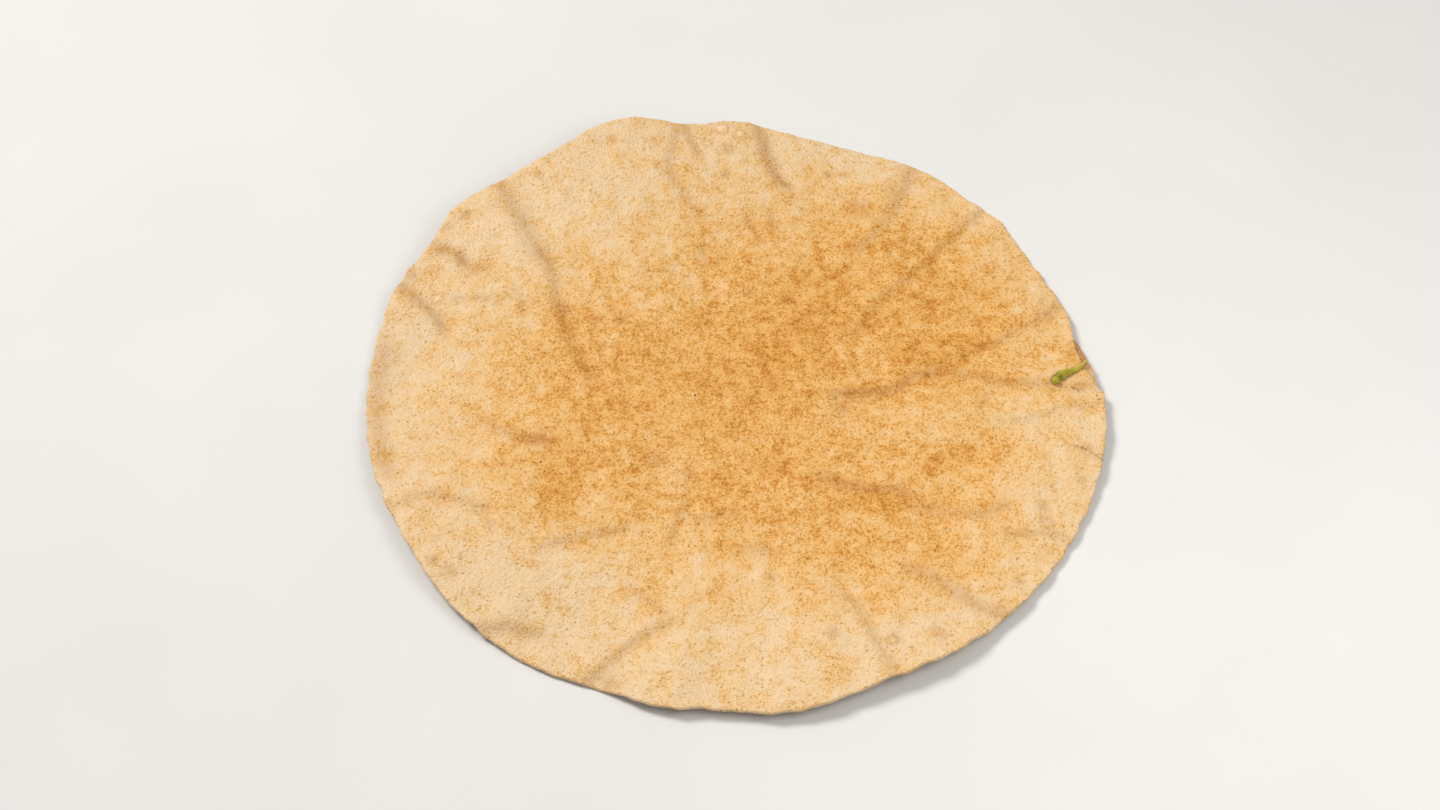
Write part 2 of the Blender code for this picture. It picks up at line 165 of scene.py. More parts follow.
# The crack below the chip, as bearing and radius.
CRACK = [(-14.2, 96.5), (-12.9, 94.2), (-12.2, 91.6), (-11.9, 89.1), (-11.6, 86.2)]

# The fine mesh: rings of the upper and the lower face, points more on each ring, and points on the rim.
# Beyond SPOKES_RANGE every ring has all the rim's points, so they form straight spokes. Further in, each
# ring's number of points is a multiple of RING_MULTIPLE.
RING_MULTIPLE = 6
TOP_RINGS = 150
TOP_RING_STEP = 6
UNDER_RINGS = 54
UNDER_RING_STEP = 17
RIM_POINTS = 798
SPOKE_GAP = 360 / RIM_POINTS
SPOKES_RANGE = (83.5, 85.5)
# Rows of points down the rim, how far in the faces' last rings lie at the whole and at the broken rim, how
# much must be missing to count as broken, where on the way out the rings start to follow the broken rim, the
# radius at which its waves are measured, and one beyond any rim, for where nothing broke off.
RIM_ROWS = len(LEDGE_PROFILE)
RIM_INSET = 0.45
BROKEN_INSET = 0.08
BROKEN_BLEND = 0.35
RIM_SHARE = 0.88
RIM_REACH = 95
UNBROKEN = 200

# Relief finer than the solid's: height and wavelength in millimetres.
FINE_SWELLS = [(0.055, 7), (0.028, 3.6), (0.014, 2)]
RIM_WOBBLE = [(0.12, 9), (0.05, 4.5)]
BROKEN_WOBBLE = [(0.06, 3.6), (0.03, 1.9)]
BROKEN_ROUGHNESS = (0.04, 1.6)
RUFFLE = [(0.10, 9)]
RUFFLE_RANGE = (76, 94)

# The crack's groove, and the lips beside it.
CRACK_DEPTH = 0.8
CRACK_LIP = 0.11
CRACK_STEP = 0.07
CRACK_STEP_WIDTH = 0.3
CRACK_STEP_RANGE = (84, 94)
CRACK_UNDER_DEPTH = 0.25
CRACK_NOTCH = 0.9
CRACK_RANGE = (85.9, 88.2)
CRACK_RADIUS = 90
# The bearings moved beside it, those moved fully, and its kinks: degrees, rate and start.
CRACK_WARP = 6
CRACK_HOLD = 0.6
CRACK_KINKS = [(0.10, 2.9, 0), (0.06, 5.3, 1)]

# Blisters seen on the upper face: X, Y, radius and height. Pits have a negative height.
BLISTERS = [
    (-3.5, 90.5, 1.7, 0.42), (1.5, 88.5, 1.5, 0.38), (-1.6, 82.8, 1.1, 0.25), (-7.5, 84.5, 0.9, 0.18),
    (76.6, -40.8, 1.3, -0.25), (37.1, -75.9, 1.1, 0.22), (88.9, 0.3, 0.45, 0.2), (-79, 30.5, 1.2, 0.2),
    (-64, -38, 0.9, 0.15),
]
# Painted shade round each as a brown ring: browning, width and place, and the size of a paler painted
# highlight.
BLISTER_SHADE_RING = 0.16
BLISTER_SHADE_WIDTH = 0.45
BLISTER_SHADE_PLACE = 1.1
BLISTER_HIGHLIGHT_SIZE = 0.6
# Scattered small ones: how many, how far out and how crowded to the rim, radius, height as a share of the
# radius, how much smaller the pits are, and the power of every dome's profile.
SMALL_BLISTERS = 260
SMALL_PITS = 120
SMALL_REACH = 94
SMALL_CROWDING = 0.33
SMALL_SIZES = (0.5, 1.3)
SMALL_HEIGHTS = (0.08, 0.2)
PIT_SHARE = 0.7
DOME_POWER = 1.5

# Dark freckles seen on the upper face: X, Y and radius, and how much browner they are.
FRECKLES = [
    (-34.5, 84, 1.1), (-2, 83, 0.9), (-3, 73.5, 1), (-54, 70.5, 0.9), (-73, 57, 1.2), (-78, 53, 1.2),
    (-78.5, 45, 1.3), (-73, 42, 1.4), (-68, 40, 1.4), (-86.5, 38, 1.5), (-45, 26, 1.4), (-30, 22.5, 1.2),
    (-36.5, 22.5, 1), (-35, 14.5, 0.9), (26, 75.5, 1), (30, 75.5, 1.1), (33.5, 63, 2.2), (14, 71, 0.9),
    (13.5, 29.5, 1.2), (3.5, 32.5, 1.2), (27, -6, 1.5), (76, -36, 1), (86.5, -28, 1.1), (88.5, -19, 1.5),
    (68.5, -58, 1), (48.5, -74, 1.2), (37.5, -75.5, 1), (23, -74, 1.3), (8, -57.5, 1.2),
    (-74, -53, 1.1), (-69, -56.5, 1), (-61, -42, 1.1), (-50, -16.5, 1.4), (-29, -5, 1),
    (-20.5, -22, 1.6), (-12, -26.5, 1.2), (-30, -86.5, 1.6),
]
FRECKLE_BROWNING = 0.20

# Browning, as the logarithm of red over blue: pale at the rim and brown in the middle. FADE has bearings and
# the radius where it is halfway.
PALE = 0.98
BROWN = 1.80
FADE_HALF = 26
FADE = [
    (0, 80), (20, 88), (40, 87), (60, 79), (80, 66), (100, 58), (120, 48), (140, 48), (160, 58), (180, 64),
    (200, 66), (220, 62), (240, 50), (258, 58), (275, 58), (295, 68), (315, 80), (335, 82), (360, 80),
]

# Browner and paler patches: X, Y, half length, half width, turn in degrees and browning added.
PATCHES = [
    (-44, -30, 9, 4, 80, 0.30), (-38, 8, 9, 5, 90, 0.14), (-44, 21, 9, 4, 30, 0.16),
    (-26, 13, 5, 4, 0, 0.12), (-31, -5, 6, 7, 0, 0.16), (18, 20, 16, 7, 60, 0.26),
    (26, 44, 10, 4, 75, 0.10), (52, 12, 9, 7, 20, 0.20), (45, 4, 9, 3, 20, 0.15),
    (49, 27, 12, 3.5, 62, 0.16), (56, 42, 8, 6, 45, 0.12), (62, -21, 9, 2.6, 0, 0.42),
    (72, -27, 14, 14, 0, -0.20), (84, -6, 6, 12, 0, -0.02), (-45, 26, 12, 8, 60, 0.10),
    (56, 10, 8, 10, 0, -0.06), (-14, 6, 8, 6, 0, 0.08), (38, 24, 12, 8, 0, 0.07),
    (48, -26, 6, 2.5, 20, 0.12), (12, -26, 8, 4, -15, 0.16), (-4, -33, 7, 4, 0, 0.20),
    (36, -36, 9, 3.5, 15, 0.14), (50, -50, 9, 5, 0, 0.16), (29, -56, 6, 6, 0, 0.12),
    (38, 58, 13, 5, -15, 0.06), (6, 8, 10, 10, 0, 0.16), (5, -10, 6, 12, 70, 0.10), (-60, 2, 5, 3, 0, 0.12),
    (5, 26, 7, 8, 0, 0.08), (-55, -45, 14, 5, 35, 0.12), (20, -85, 5, 5, 0, 0.12),
    (-20, -66, 8, 4, 70, 0.12), (-20, -42, 3, 6, 0, 0.14), (84, 4, 6, 5, 0, 0.10),
    (-69, 37, 9, 7, 20, 0.20), (-36, 38, 8, 6, 0, 0.14), (-50, -30, 12, 9, 0, 0.12),
    (-80, -30, 9, 10, 0, 0.08), (70, 24, 8, 7, 0, 0.12), (-13, 66, 4, 14, 0, 0.10),
    (64, -9, 15, 4, -3, -0.38), (-15, -29, 3, 7, 0, -0.22), (-11, -47, 3, 8, 10, -0.26),
    (-58, -58, 14, 9, 40, -0.24), (-14, 36, 8, 6, 0, -0.12), (32, -16, 12, 4, -20, -0.14),
    (48, -17, 6, 3, -10, -0.14), (-58, 60, 18, 8, 55, -0.10), (36, 82, 12, 5, -25, -0.14),
    (76, -38, 8, 6, 60, -0.14), (-24, -46, 5, 6, 0, 0.12), (5, -62, 4, 8, 0, -0.18),
    (46, -72, 12, 5, 30, -0.16), (-18, -8, 4, 4, 0, -0.06), (-40, -15, 5, 5, 0, -0.08),
    (15, -7, 5, 5, 0, -0.06), (17, 52, 3, 8, 0, -0.12), (-63, -8, 6, 5, 0, -0.08),
    (-33, 12, 3, 3, 0, -0.10), (8, 40, 6, 6, 0, -0.06), (18, 58, 20, 8, 0, -0.09),
    (-17, 37, 7, 6, 0, -0.09), (69, 36, 7, 6, 0, -0.08), (33, -4, 8, 5, 0, -0.13),
    (48, -32, 7, 12, 0, -0.06), (-50, 16, 18, 5, 0, 0.07), (-33, -72, 8, 6, 0, -0.05),
    (-16, -75, 6, 6, 0, 0.08), (-6, -4, 12, 6, 0, 0.04), (86, 16, 5, 8, 0, 0.14), (18, 80, 8, 6, 0, -0.07),
]

# Mottling that runs outwards, and grows over STREAKS_RANGE: waves round the circle, how much longer than wide
# they are, and browning added.
STREAKS = [(22, 1.8, 0.055), (44, 1.7, 0.07), (88, 1.5, 0.08)]
STREAKS_RANGE = (12, 36)
# Even mottling: browning added and wavelength, and how brown the lower face is as a share of the upper one.
MOTTLES = [(0.06, 14), (0.07, 7), (0.075, 3.6)]
UNDER_BROWNING = 0.85

# The crisp's colour at each browning, as light sent back in red, green and blue.
EXPOSURE = 1.12
SHEEN_LIGHT = 0.03
BROWNING_RANGE = (0.8, 2.2)
BROWNING_COLOURS = [
    (0.80, (0.818, 0.595, 0.362)), (1.02, (0.824, 0.556, 0.292)), (1.30, (0.822, 0.513, 0.224)),
    (1.60, (0.808, 0.461, 0.163)), (1.80, (0.778, 0.418, 0.129)), (2.00, (0.735, 0.370, 0.100)),
    (2.20, (0.684, 0.322, 0.076)),
]

# The herb sliver: its middle line as X and Y from the curled end to the tip, and half widths along it.
SLIVER_LINE = [(81.7, 1.4), (82.9, 3.1), (84.8, 4.5), (87.8, 6), (89.9, 7.4), (91.3, 9.2)]
SLIVER_HALF_WIDTHS = [0.95, 1.3, 1.15, 0.7, 0.6, 0.28]
# Its thickness, the share of its lowest rise by which each row of points is set down, the gap then left
# under it, how often the middle line is smoothed, and cells along and across.
SLIVER_THICKNESS = 0.3
SLIVER_SINKING = 0.8
SLIVER_GAP = 0.25
SLIVER_SMOOTHING = 6
SLIVER_ALONG = 90
SLIVER_ACROSS = 18
# Its lobes and the folds beside them, whose dark is painted shade: place along it from 0 to 1 and across it
# from -1 to 1, half length and half width there, turn, and the lobe's height or the fold shade's strength.
LOBES = [(0.4, 0.15, 0.12, 0.6, 0, 1.25), (0.09, -0.1, 0.07, 0.6, 0, 1), (0.16, 1, 0.1, 0.3, 0, 0.5)]
LEAF_FOLD_SHADES = [(0.25, -0.4, 0.05, 0.6, 0, 1), (0.2, 0.9, 0.09, 0.25, 0, 0.8), (0.87, -0.9, 0.05, 0.3, 0, 0.8)]
# Share of the width that each end has and over which stretch it grows, and waves of it: size, rate and start.
SLIVER_ENDS = [(0.55, 0, 0.08), (0.25, 1, 0.93)]
SLIVER_WAVES = [(0.10, 23, 0), (0.06, 41, 1)]
# Its arm: height of its arch and of its tilt and where along it each grows, and its ripple.
ARM_ARCH = (0.28, 0.30, 0.62)
ARM_TILT = (0.30, 0.55, 0.75)
ARM_RIPPLE = (0.08, 17, 2)
# How much thinner the blade is at its sides and at its ends, and how far the ends reach.
THIN_SIDES = 0.55
THIN_ENDS = (0.5, 0.05)

# The camera: lens and film in millimetres, angle above the floor, distance in metres, the point in
# millimetres that it looks at, and the nearest that it sees, in metres.
LENS = 60
FILM = 36
CAMERA_ELEVATION = 53
CAMERA_DISTANCE = 0.6146
CAMERA_TARGET = (-4.1, -5.1, 4)
NEAREST_SEEN = 0.01

# Greyer, darker patches near the rim, partly painted shade where it turns down: X, Y, half length, half
# width, turn and strength.
GREY_SHADE_PATCHES = [(-90, 10, 3, 6, 0, 0.45), (83, 29, 4.5, 5, 0, 0.35), (-84, 22, 3, 6, 0, 0.2)]
GREY_SHADE_COLOUR = (0.52, 0.40, 0.27, 1)
GREY_SHADE_STRENGTH = 0.55

# Where the corners go when colours are baked: middle and radius of the upper and the lower disc.
BAKE_DISCS = [(0.375, 0.625, 0.365), (0.80, 0.20, 0.185)]

# The fine browning. Flecks show where a noise is above a level that falls as the crisp gets browner, as its
# mottling rises and in clusters. A layer of them is cell size, depth, and level in pale and in brown dough;
# other pairs are for pale and brown dough too. Grain is even: cell size and depth. Each kind of noise has its
# detail, roughness and shift, with the step between its layers as Y. The flecks are shifted in X and step
# in Z.
FLECKS = [(0.95, 0.46, 0.28, 0.14), (0.55, 0.58, 0.28, 0.16)]
FLECK_RANGE = (0.8, 2.1)
FLECK_EDGE = 0.14
FLECK_NOISE = (1, 0.5)
FLECK_SHIFT = (80, 21)
FLECK_TWIST = 0.7
FLECK_MOTTLING = 0.3
FLECK_CLUSTERS = [(2.6, 0.06)]
CLUSTER_NOISE = (1, 0.6, (11, 7, 60))
FLECK_STRENGTHS = (0.80, 1.42)
GROUND_MOTTLING = (0.62, 0.78)
GROUND_PALER = (0.09, 0.25)
GRAIN_CELLS = [(2.1, 0.14), (0.42, 0.16)]
GRAIN_NOISE = (1, 1, (0, 40, 3))
GRAIN_COLOUR = (0.33, 0.58, 1.42)
# Shares of red, green and blue that the dark value takes: browning, with painted shade at creases and
# blisters.
BROWNING_AND_SHADE_COLOUR = (0.90, 1.35, 1.90)
# Brown dots: spacing, smallest and largest radius, depth, share of them that shows in pale and in brown
# dough, and where their pattern starts.
DOTS = [
    (1.1, 0.17, 0.34, 0.50, 0.07, 0.22, (0, 0, 0)),
    (2, 0.24, 0.46, 0.66, 0.20, 0.30, (17, 4, 9)),
    (3.4, 0.40, 0.75, 0.32, 0.22, 0.35, (5, 31, 2)),
]
DOT_COLOUR = (0.58, 0.92, 1.55)
DOT_CROWDING = [(16, 0.32), (5, 0.32)]
CROWD_NOISE = (0, 0.5, (31, 20, 5))
DOT_LEAN = (0.8, 0.6)
SPOT_EDGE = (1, 0.15)
# Brown rings: spacing, smallest and largest radius, start, depth, shares of the radius where they rise and
# fall, which of them show, and the browning over which they fade.
RINGS_SPACING_AND_SIZE = (6, 0.5, 0.85)
RINGS_START = (3, 11, 0)
RING_DEPTH = 0.16
RING_INSIDE = (0.45, 0.8)
RING_OUTSIDE = (1.15, 0.85)
RING_CHOICE = (0.6, 0.75)
RING_BROWNING = (1.5, 1.15)
# Tiny holes whose dark core is painted shade: X, Y and radius, and the core's share of it and colour.
PIN_HOLES = [
    (-10.5, -1.7, 0.45), (-49.1, -23.2, 0.4), (93.2, -3.3, 0.3), (92.7, -1.95, 0.35), (86.6, 0.75, 0.3),
    (87.2, 0.5, 0.35), (87.9, 0.25, 0.3),
]
PIN_HOLE_CORE = 0.4
PIN_HOLE_SHADE_COLOUR = (0.10, 0.045, 0.018, 1)
# The broken edge, the ledge, and the crack's painted shade. The ledge's colour changes in Y over LEDGE_FADE
# and has grain.
CRUMB_COLOUR = (0.66, 0.43, 0.22, 1)
CRUMB_STRENGTH = 0.6
LEDGE_COLOURS = [(0.74, 0.46, 0.20, 1), (0.53, 0.27, 0.10, 1)]
LEDGE_FADE = (6, 11)
LEDGE_GRAIN = 0.6
CRACK_SHADE_COLOUR = (0.16, 0.075, 0.03, 1)
CRACK_SHADE_STRENGTH = 0.95
# Relief finer than the mesh: depth in millimetres, its shares in pale and in brown dough, and the share by
# which dots sink. Then the noises of relief and roughness, and the roughness as its range and its middle.
BUMP_DEPTH = 0.31
BUMP_SHARES = (1.35, 1)
SPECK_DEPTH = -0.1
RELIEF_NOISE = (0.8, 1, 0.7, (5, 5, 5))
ROUGHNESS_NOISE = (2.2, 2, 0.6, (9, 2, 4))
ROUGHNESS = (0.10, 0.58)
CRISP_SHINE = 0.35

# The herb's looks: blotches, a yellower thin end, painted shade in its folds and along its rim, roughness as
# its range and its middle, relief, sheen, glow as strength and reach in millimetres, and veins.
LEAF_COLOUR = (0.38, 0.325, 0.022, 1)
LEAF_TIP_COLOUR = (0.52, 0.41, 0.060, 1)
LEAF_SHADE_COLOUR = (0.10, 0.085, 0.002, 1)
LEAF_FOLD_SHADE_STRENGTH = 0.95
LEAF_BLOTCHES = (0.9, 2, 0.6)
LEAF_BLOTCH_SHARE = 0.35
LEAF_YELLOW_FROM = (0.3, 0.95)
LEAF_YELLOW_RANGE = (-0.1, 1)
LEAF_EDGE_SHADE_RANGE = (0.86, 1)
LEAF_EDGE_SHADE_STRENGTH = 0.35
LEAF_ROUGHNESS = (0.08, 0.55)
LEAF_BUMP_DEPTH = 0.02
LEAF_SHINE = 0.3
LEAF_GLOW = (0.1, 0.5)
VEIN_RATES = (9, 14)
VEIN_RANGE = (0.7, 1)
VEIN_STRENGTH = 0.18

# The studio: the floor's size in millimetres, and each light's name, bearing, angle above the floor,
# distance and width in metres, power and colour.
FLOOR_SIZE = 3000
FLOOR_COLOURS = [(0.66, 0.655, 0.645, 1), (0.70, 0.695, 0.685, 1)]
FLOOR_CLOUDS = (60, 2)
FLOOR_ROUGHNESS = 0.9
FLOOR_SHINE = 0.1
SKY_COLOUR = (1, 1, 1, 1)
SKY_STRENGTH = 0.455
LIGHTS = [
    ("soft_key", 148, 50, 1.3, 0.45, 13.6, (1, 0.97, 0.92)),
    ("near_fill", 330, 50, 0.36, 0.22, 0.44, (1, 0.97, 0.92)),
]


def ease(start, end, value):
    """Rises smoothly from 0 at start to 1 at end, or falls where end is the smaller."""
    part = np.clip((value - start) / (end - start), 0, 1)
    return part * part * (3 - 2 * part)


def hump(away):
    """A smooth bump: 1 at 0, falling to nearly 0 at 3 on either side."""
    return np.exp(-0.5 * away**2)


def read_off(place, rows, **beyond):
    """The second column of a table at this place in its first column, straight from row to row."""
    at, values = zip(*sorted(rows))
    return np.interp(place, at, values, **beyond)


def near_zero(bearing):
    """The same bearing between -180 and 180 degrees."""
    return np.mod(bearing + 180, 360) - 180


def on_plan(bearing, reach):
    """X and Y at this bearing and distance from the centre."""
    angle = np.radians(bearing)
    return reach * np.cos(angle), reach * np.sin(angle)


def bulges(x, y, rows):
    """Smooth bumps added up: X, Y, half length, half width, turn in degrees and height of each."""
    total = np.zeros_like(x)
    for at_x, at_y, length, width, turn, height in rows:
        cosine, sine = math.cos(math.radians(turn)), math.sin(math.radians(turn))
        along = ((x - at_x) * cosine + (y - at_y) * sine) / length
        across = ((y - at_y) * cosine - (x - at_x) * sine) / width
        total += height * hump(np.hypot(along, across))
    return total


def bumps(x, y, rows):
    """Round blisters added up: X, Y, radius and height of each. Pits have a negative height."""
    total = np.zeros_like(x)
    for at_x, at_y, radius, height in rows:
        near = (np.abs(x - at_x) < radius) & (np.abs(y - at_y) < radius)
        distance = np.hypot(x[near] - at_x, y[near] - at_y) / radius
        total[near] += height * np.clip(1 - distance**2, 0, 1) ** DOME_POWER
    return total


def crossing_waves(seed):
    """Heading, pace and start of each wave of an even pattern."""
    draw = np.random.default_rng(seed)
    for _ in range(WAVES_IN_A_SWELL):
        yield draw.uniform(0, FULL_TURN), draw.uniform(*WAVE_SPREAD), draw.uniform(0, FULL_TURN)


def swell(x, y, length, seed):
    """An even pattern of crossing waves with heights of about 1, and about this wavelength."""
    total = np.zeros_like(x)
    for heading, pace, start in crossing_waves(seed):
        rate = FULL_TURN / (length * pace)
        total += np.sin(rate * (x * math.cos(heading) + y * math.sin(heading)) + start)
    return total * WAVE_HEIGHT


def swells(x, y, rows, seed):
    """Patterns of crossing waves added up: height and wavelength of each."""
    return sum(rise * swell(x, y, length, seed + row) for row, (rise, length) in enumerate(rows))


def streaks(x, y, rounds, stretch, seed):
    """Uneven waves of height about 1 that widen and run outwards with the distance from the centre."""
    turn, out = np.arctan2(y, x), np.log(np.maximum(np.hypot(x, y), STREAKS_RANGE[0]))
    total = np.zeros_like(x)
    for heading, pace, start in crossing_waves(seed):
        rate = rounds * pace
        turns = round(rate * math.cos(heading))
        total += np.sin(turns * turn + rate / stretch * math.sin(heading) * out + start)
    return total * WAVE_HEIGHT


def waves_round(bearing, length, seed):
    """Uneven waves of height about 1 along the rim, repeating after one turn."""
    draw = np.random.default_rng(seed)
    rounds = FULL_TURN * RIM_REACH / length
    total = np.zeros_like(bearing)
    for _ in range(WAVES_IN_A_SWELL):
        turns = round(rounds * draw.uniform(*WAVE_SPREAD))
        total += np.sin(np.radians(bearing) * turns + draw.uniform(0, FULL_TURN))
    return total * WAVE_HEIGHT


def wobble(bearing, rows, seed):
    """Waves along the rim added up: height and wavelength of each."""
    return sum(rise * waves_round(bearing, length, seed + row) for row, (rise, length) in enumerate(rows))


def rim_curve(column, bearing):
    """The smooth closed curve through one column of RIM, a cubic between each two rows."""
    at = np.array([row[0] for row in RIM], float)
    value = np.array([row[column] for row in RIM])
    at = np.concatenate([at[-2:] - 360, at, at[:2] + 360])
    value = np.concatenate([value[-2:], value, value[:2]])
    slope = np.gradient(value, at)
    bearing = np.mod(bearing - at[2], 360) + at[2]
    row = np.searchsorted(at, bearing, side="right") - 1
    gap = at[row + 1] - at[row]
    part = (bearing - at[row]) / gap
    level = value[row] + ease(0, 1, part) * (value[row + 1] - value[row])
    lead = part * (1 - part) ** 2 * gap * slope[row]
    tail = part**2 * (1 - part) * gap * slope[row + 1]
    return level + lead - tail


def smooth_line(points):
    """Points along a smooth curve through the given ones."""
    line = np.array(points, float)
    line = np.concatenate([[2 * line[0] - line[1]], line, [2 * line[-1] - line[-2]]])
    part = np.arange(RUNS_A_SPAN)[:, None] / RUNS_A_SPAN
    spans = []
    for before, start, end, after in zip(line, line[1:], line[2:], line[3:]):
        second = 2 * before - 5 * start + 4 * end - after
        third = 3 * start - before - 3 * end + after
        spans.append(start + 0.5 * ((end - before) * part + second * part**2 + third * part**3))
    return np.concatenate(spans + [line[-2:-1]])


def across_line(x, y, points):
    """Distance from a smooth line, positive on its left, and how strong the line is beside each point."""
    line = smooth_line(points)
    lengths = np.linalg.norm(np.diff(line, axis=0), axis=1)
    starts = np.concatenate([[0], np.cumsum(lengths)])
    nearest, offset, along = np.full_like(x, np.inf), np.zeros_like(x), np.zeros_like(x)
    for step, length in enumerate(lengths):
        run = (line[step + 1] - line[step]) / length
        from_x, from_y = x - line[step, 0], y - line[step, 1]
        reach = np.clip(from_x * run[0] + from_y * run[1], 0, length)
        distance = np.hypot(from_x - reach * run[0], from_y - reach * run[1])
        closer = distance < nearest
        nearest = np.where(closer, distance, nearest)
        offset = np.where(closer, np.sign(run[0] * from_y - run[1] * from_x) * distance, offset)
        along = np.where(closer, starts[step] + reach, along)
    end = min(CREASE_END, starts[-1] / 2)
    return offset, ease(0, end, along) * ease(starts[-1], starts[-1] - end, along)


def creases(x, y, in_solid=False):
    """Height and brown lines, in part painted shade, of the creases, or only the height of those the solid
    has.
    """
    height, browning = np.zeros_like(x), np.zeros_like(x)
    relief = 1 if in_solid else CREASE_RELIEF
    line_width, line_strength = CREASE_BROWN_AND_SHADE_LINE
    for rise, width, added, points in CREASES:
        if in_solid and rise < SOLID_LEAST:
            continue
        offset, strength = across_line(x, y, points)
        across = offset / (max(width, SOLID_NARROWEST) if in_solid else width)
        profile = np.tanh(CREASE_STEEPNESS * across) * hump(across / CREASE_REACH)
        height += relief * rise * strength * profile
        browning += line_strength * added * strength * hump(offset / (line_width * width))
    return height, browning


def sheet(x, y, in_solid=False):
    """Height of the crisp's middle layer before it is set down, and the creases' brown lines, in part painted
    shade.
    """
    bearing = np.degrees(np.arctan2(y, x))
    bend = ease(BEND_START, BEND_END, np.hypot(x, y) / rim_curve(1, bearing))
    bend /= ease(BEND_START, BEND_END, 1)
    height = CENTRE_HEIGHT + (rim_curve(2, bearing) - CENTRE_HEIGHT) * bend
    crease_height, browning = creases(x, y, in_solid)
    height += crease_height + bulges(x, y, BULGES) + swells(x, y, SWELLS, SEED)
    return height, browning


def rings_of_points(rings, ring_step, most=None):
    """Radius share and bearing of each point of the disc, and the point numbers of each ring."""
    share, bearing, numbers = [np.zeros(1)], [np.zeros(1)], [np.zeros(1, int)]
    total = 1
    for ring in range(1, rings + 1):
        count = RING_MULTIPLE * round(ring_step * ring / RING_MULTIPLE)
        count = min(count, most) if most else count
        numbers.append(np.arange(total, total + count))
        share.append(np.full(count, ring / rings))
        bearing.append(360 * np.arange(count) / count)
        total += count
    return np.concatenate(share), np.concatenate(bearing), numbers


def band(inner, outer):
    """Triangles between two rings of points that may differ in number, both from bearing 0."""
    triangles = []
    i, o = 0, 0
    while o < len(outer) or (i < len(inner) and len(inner) > 1):
        here_in, here_out = inner[i % len(inner)], outer[o % len(outer)]
        if len(inner) == 1 or (o + 1) * len(inner) <= (i + 1) * len(outer):
            triangles.append((here_in, here_out, outer[(o + 1) % len(outer)]))
            o += 1
        else:
            triangles.append((here_in, here_out, inner[(i + 1) % len(inner)]))
            i += 1
    return triangles


def bands(rings):
    """Triangles between each ring of points and the next."""
    return [face for inner, outer in zip(rings, rings[1:]) for face in band(inner, outer)]


def set_down():
    """Where the design's origin lies in the frame, whose origin is under the middle of the solid."""
    share, bearing, numbers = rings_of_points(SOLID_RINGS, SOLID_RING_STEP)
    radius = rim_curve(1, bearing)
    middle, _ = sheet(*on_plan(bearing, share * (radius - EDGE_ROUNDING)), in_solid=True)
    x, y = on_plan(bearing[numbers[-1]], radius[numbers[-1]])
    return -np.array([(x.min() + x.max()) / 2, (y.min() + y.max()) / 2, middle.min() - THICKNESS / 2])


def rim_radius(bearing, broken_edge):
    """Radius of the fine rim, its radius without the chip, and how broken it is here, from 0 to 1."""
    whole = rim_curve(1, bearing) + wobble(bearing, RIM_WOBBLE, SEEDS["rim"])
    edge = read_off(near_zero(bearing), broken_edge, left=UNBROKEN, right=UNBROKEN)
    edge += wobble(bearing, BROKEN_WOBBLE, SEEDS["broken"])
    return np.minimum(whole, edge), whole, ease(0, BROKEN_BLEND, whole - edge)


def crack_bearing(radius):
    """Bearing of the crack at each radius, with its kinks."""
    kinks = sum(size * np.sin(radius * rate + start) for size, rate, start in CRACK_KINKS)
    return read_off(radius, [(out, turn) for turn, out in CRACK]) + kinks


def pull_to_crack(bearing, radius):
    """Moves points sideways so that one spoke runs along the crack with one close on each side of it."""
    spoke = round(CRACK[2][0] / SPOKE_GAP) * SPOKE_GAP
    offset = near_zero(bearing) - spoke
    lip = np.degrees(CRACK_LIP / CRACK_RADIUS)
    moved = [(0, 0)]
    for side in (-1, 1):
        moved += [(side * CRACK_WARP, side * CRACK_WARP), (side * SPOKE_GAP, side * lip)]
    carried = (crack_bearing(radius) - spoke) * ease(CRACK_WARP, CRACK_HOLD, np.abs(offset))
    change = (read_off(offset, moved) - offset + carried) * ease(*SPOKES_RANGE, radius)
    inside = np.abs(offset) < CRACK_WARP
    depth = (np.abs(offset) < SPOKE_GAP / 2) * ease(*CRACK_RANGE, radius)
    return bearing + np.where(inside, change, 0), np.where(inside, depth, 0), offset


def pull_to_step(bearing, radius):
    """Moves the two spokes beside the chip's lower end onto its step."""
    (step_high, _), (step_low, _) = CHIP_EDGE[-2:]
    change = np.where(np.abs(bearing) < SPOKE_GAP / 2, step_high, 0)
    change += np.where(np.abs(bearing + SPOKE_GAP - 360) < SPOKE_GAP / 2, step_low + SPOKE_GAP, 0)
    return bearing + change * ease(*SPOKES_RANGE, radius)


def face_plan(rings, ring_step, broken_edge):
    """One face's points seen from above, and what the rim, chip and crack do to each of them."""
    share, bearing, numbers = rings_of_points(rings, ring_step, RIM_POINTS)
    _, whole, broken = rim_radius(bearing, broken_edge)
    inset = RIM_INSET + (BROKEN_INSET - RIM_INSET) * broken
    bearing, depth, offset = pull_to_crack(pull_to_step(bearing, share * whole), share * whole)
    rim, whole, broken = rim_radius(bearing, broken_edge)
    at_rim = ease(RIM_SHARE, 1, share)
    reach = share * (whole - RIM_INSET) + at_rim * (rim - inset - whole + RIM_INSET)
    return reach, bearing, numbers, rim, broken, depth, offset


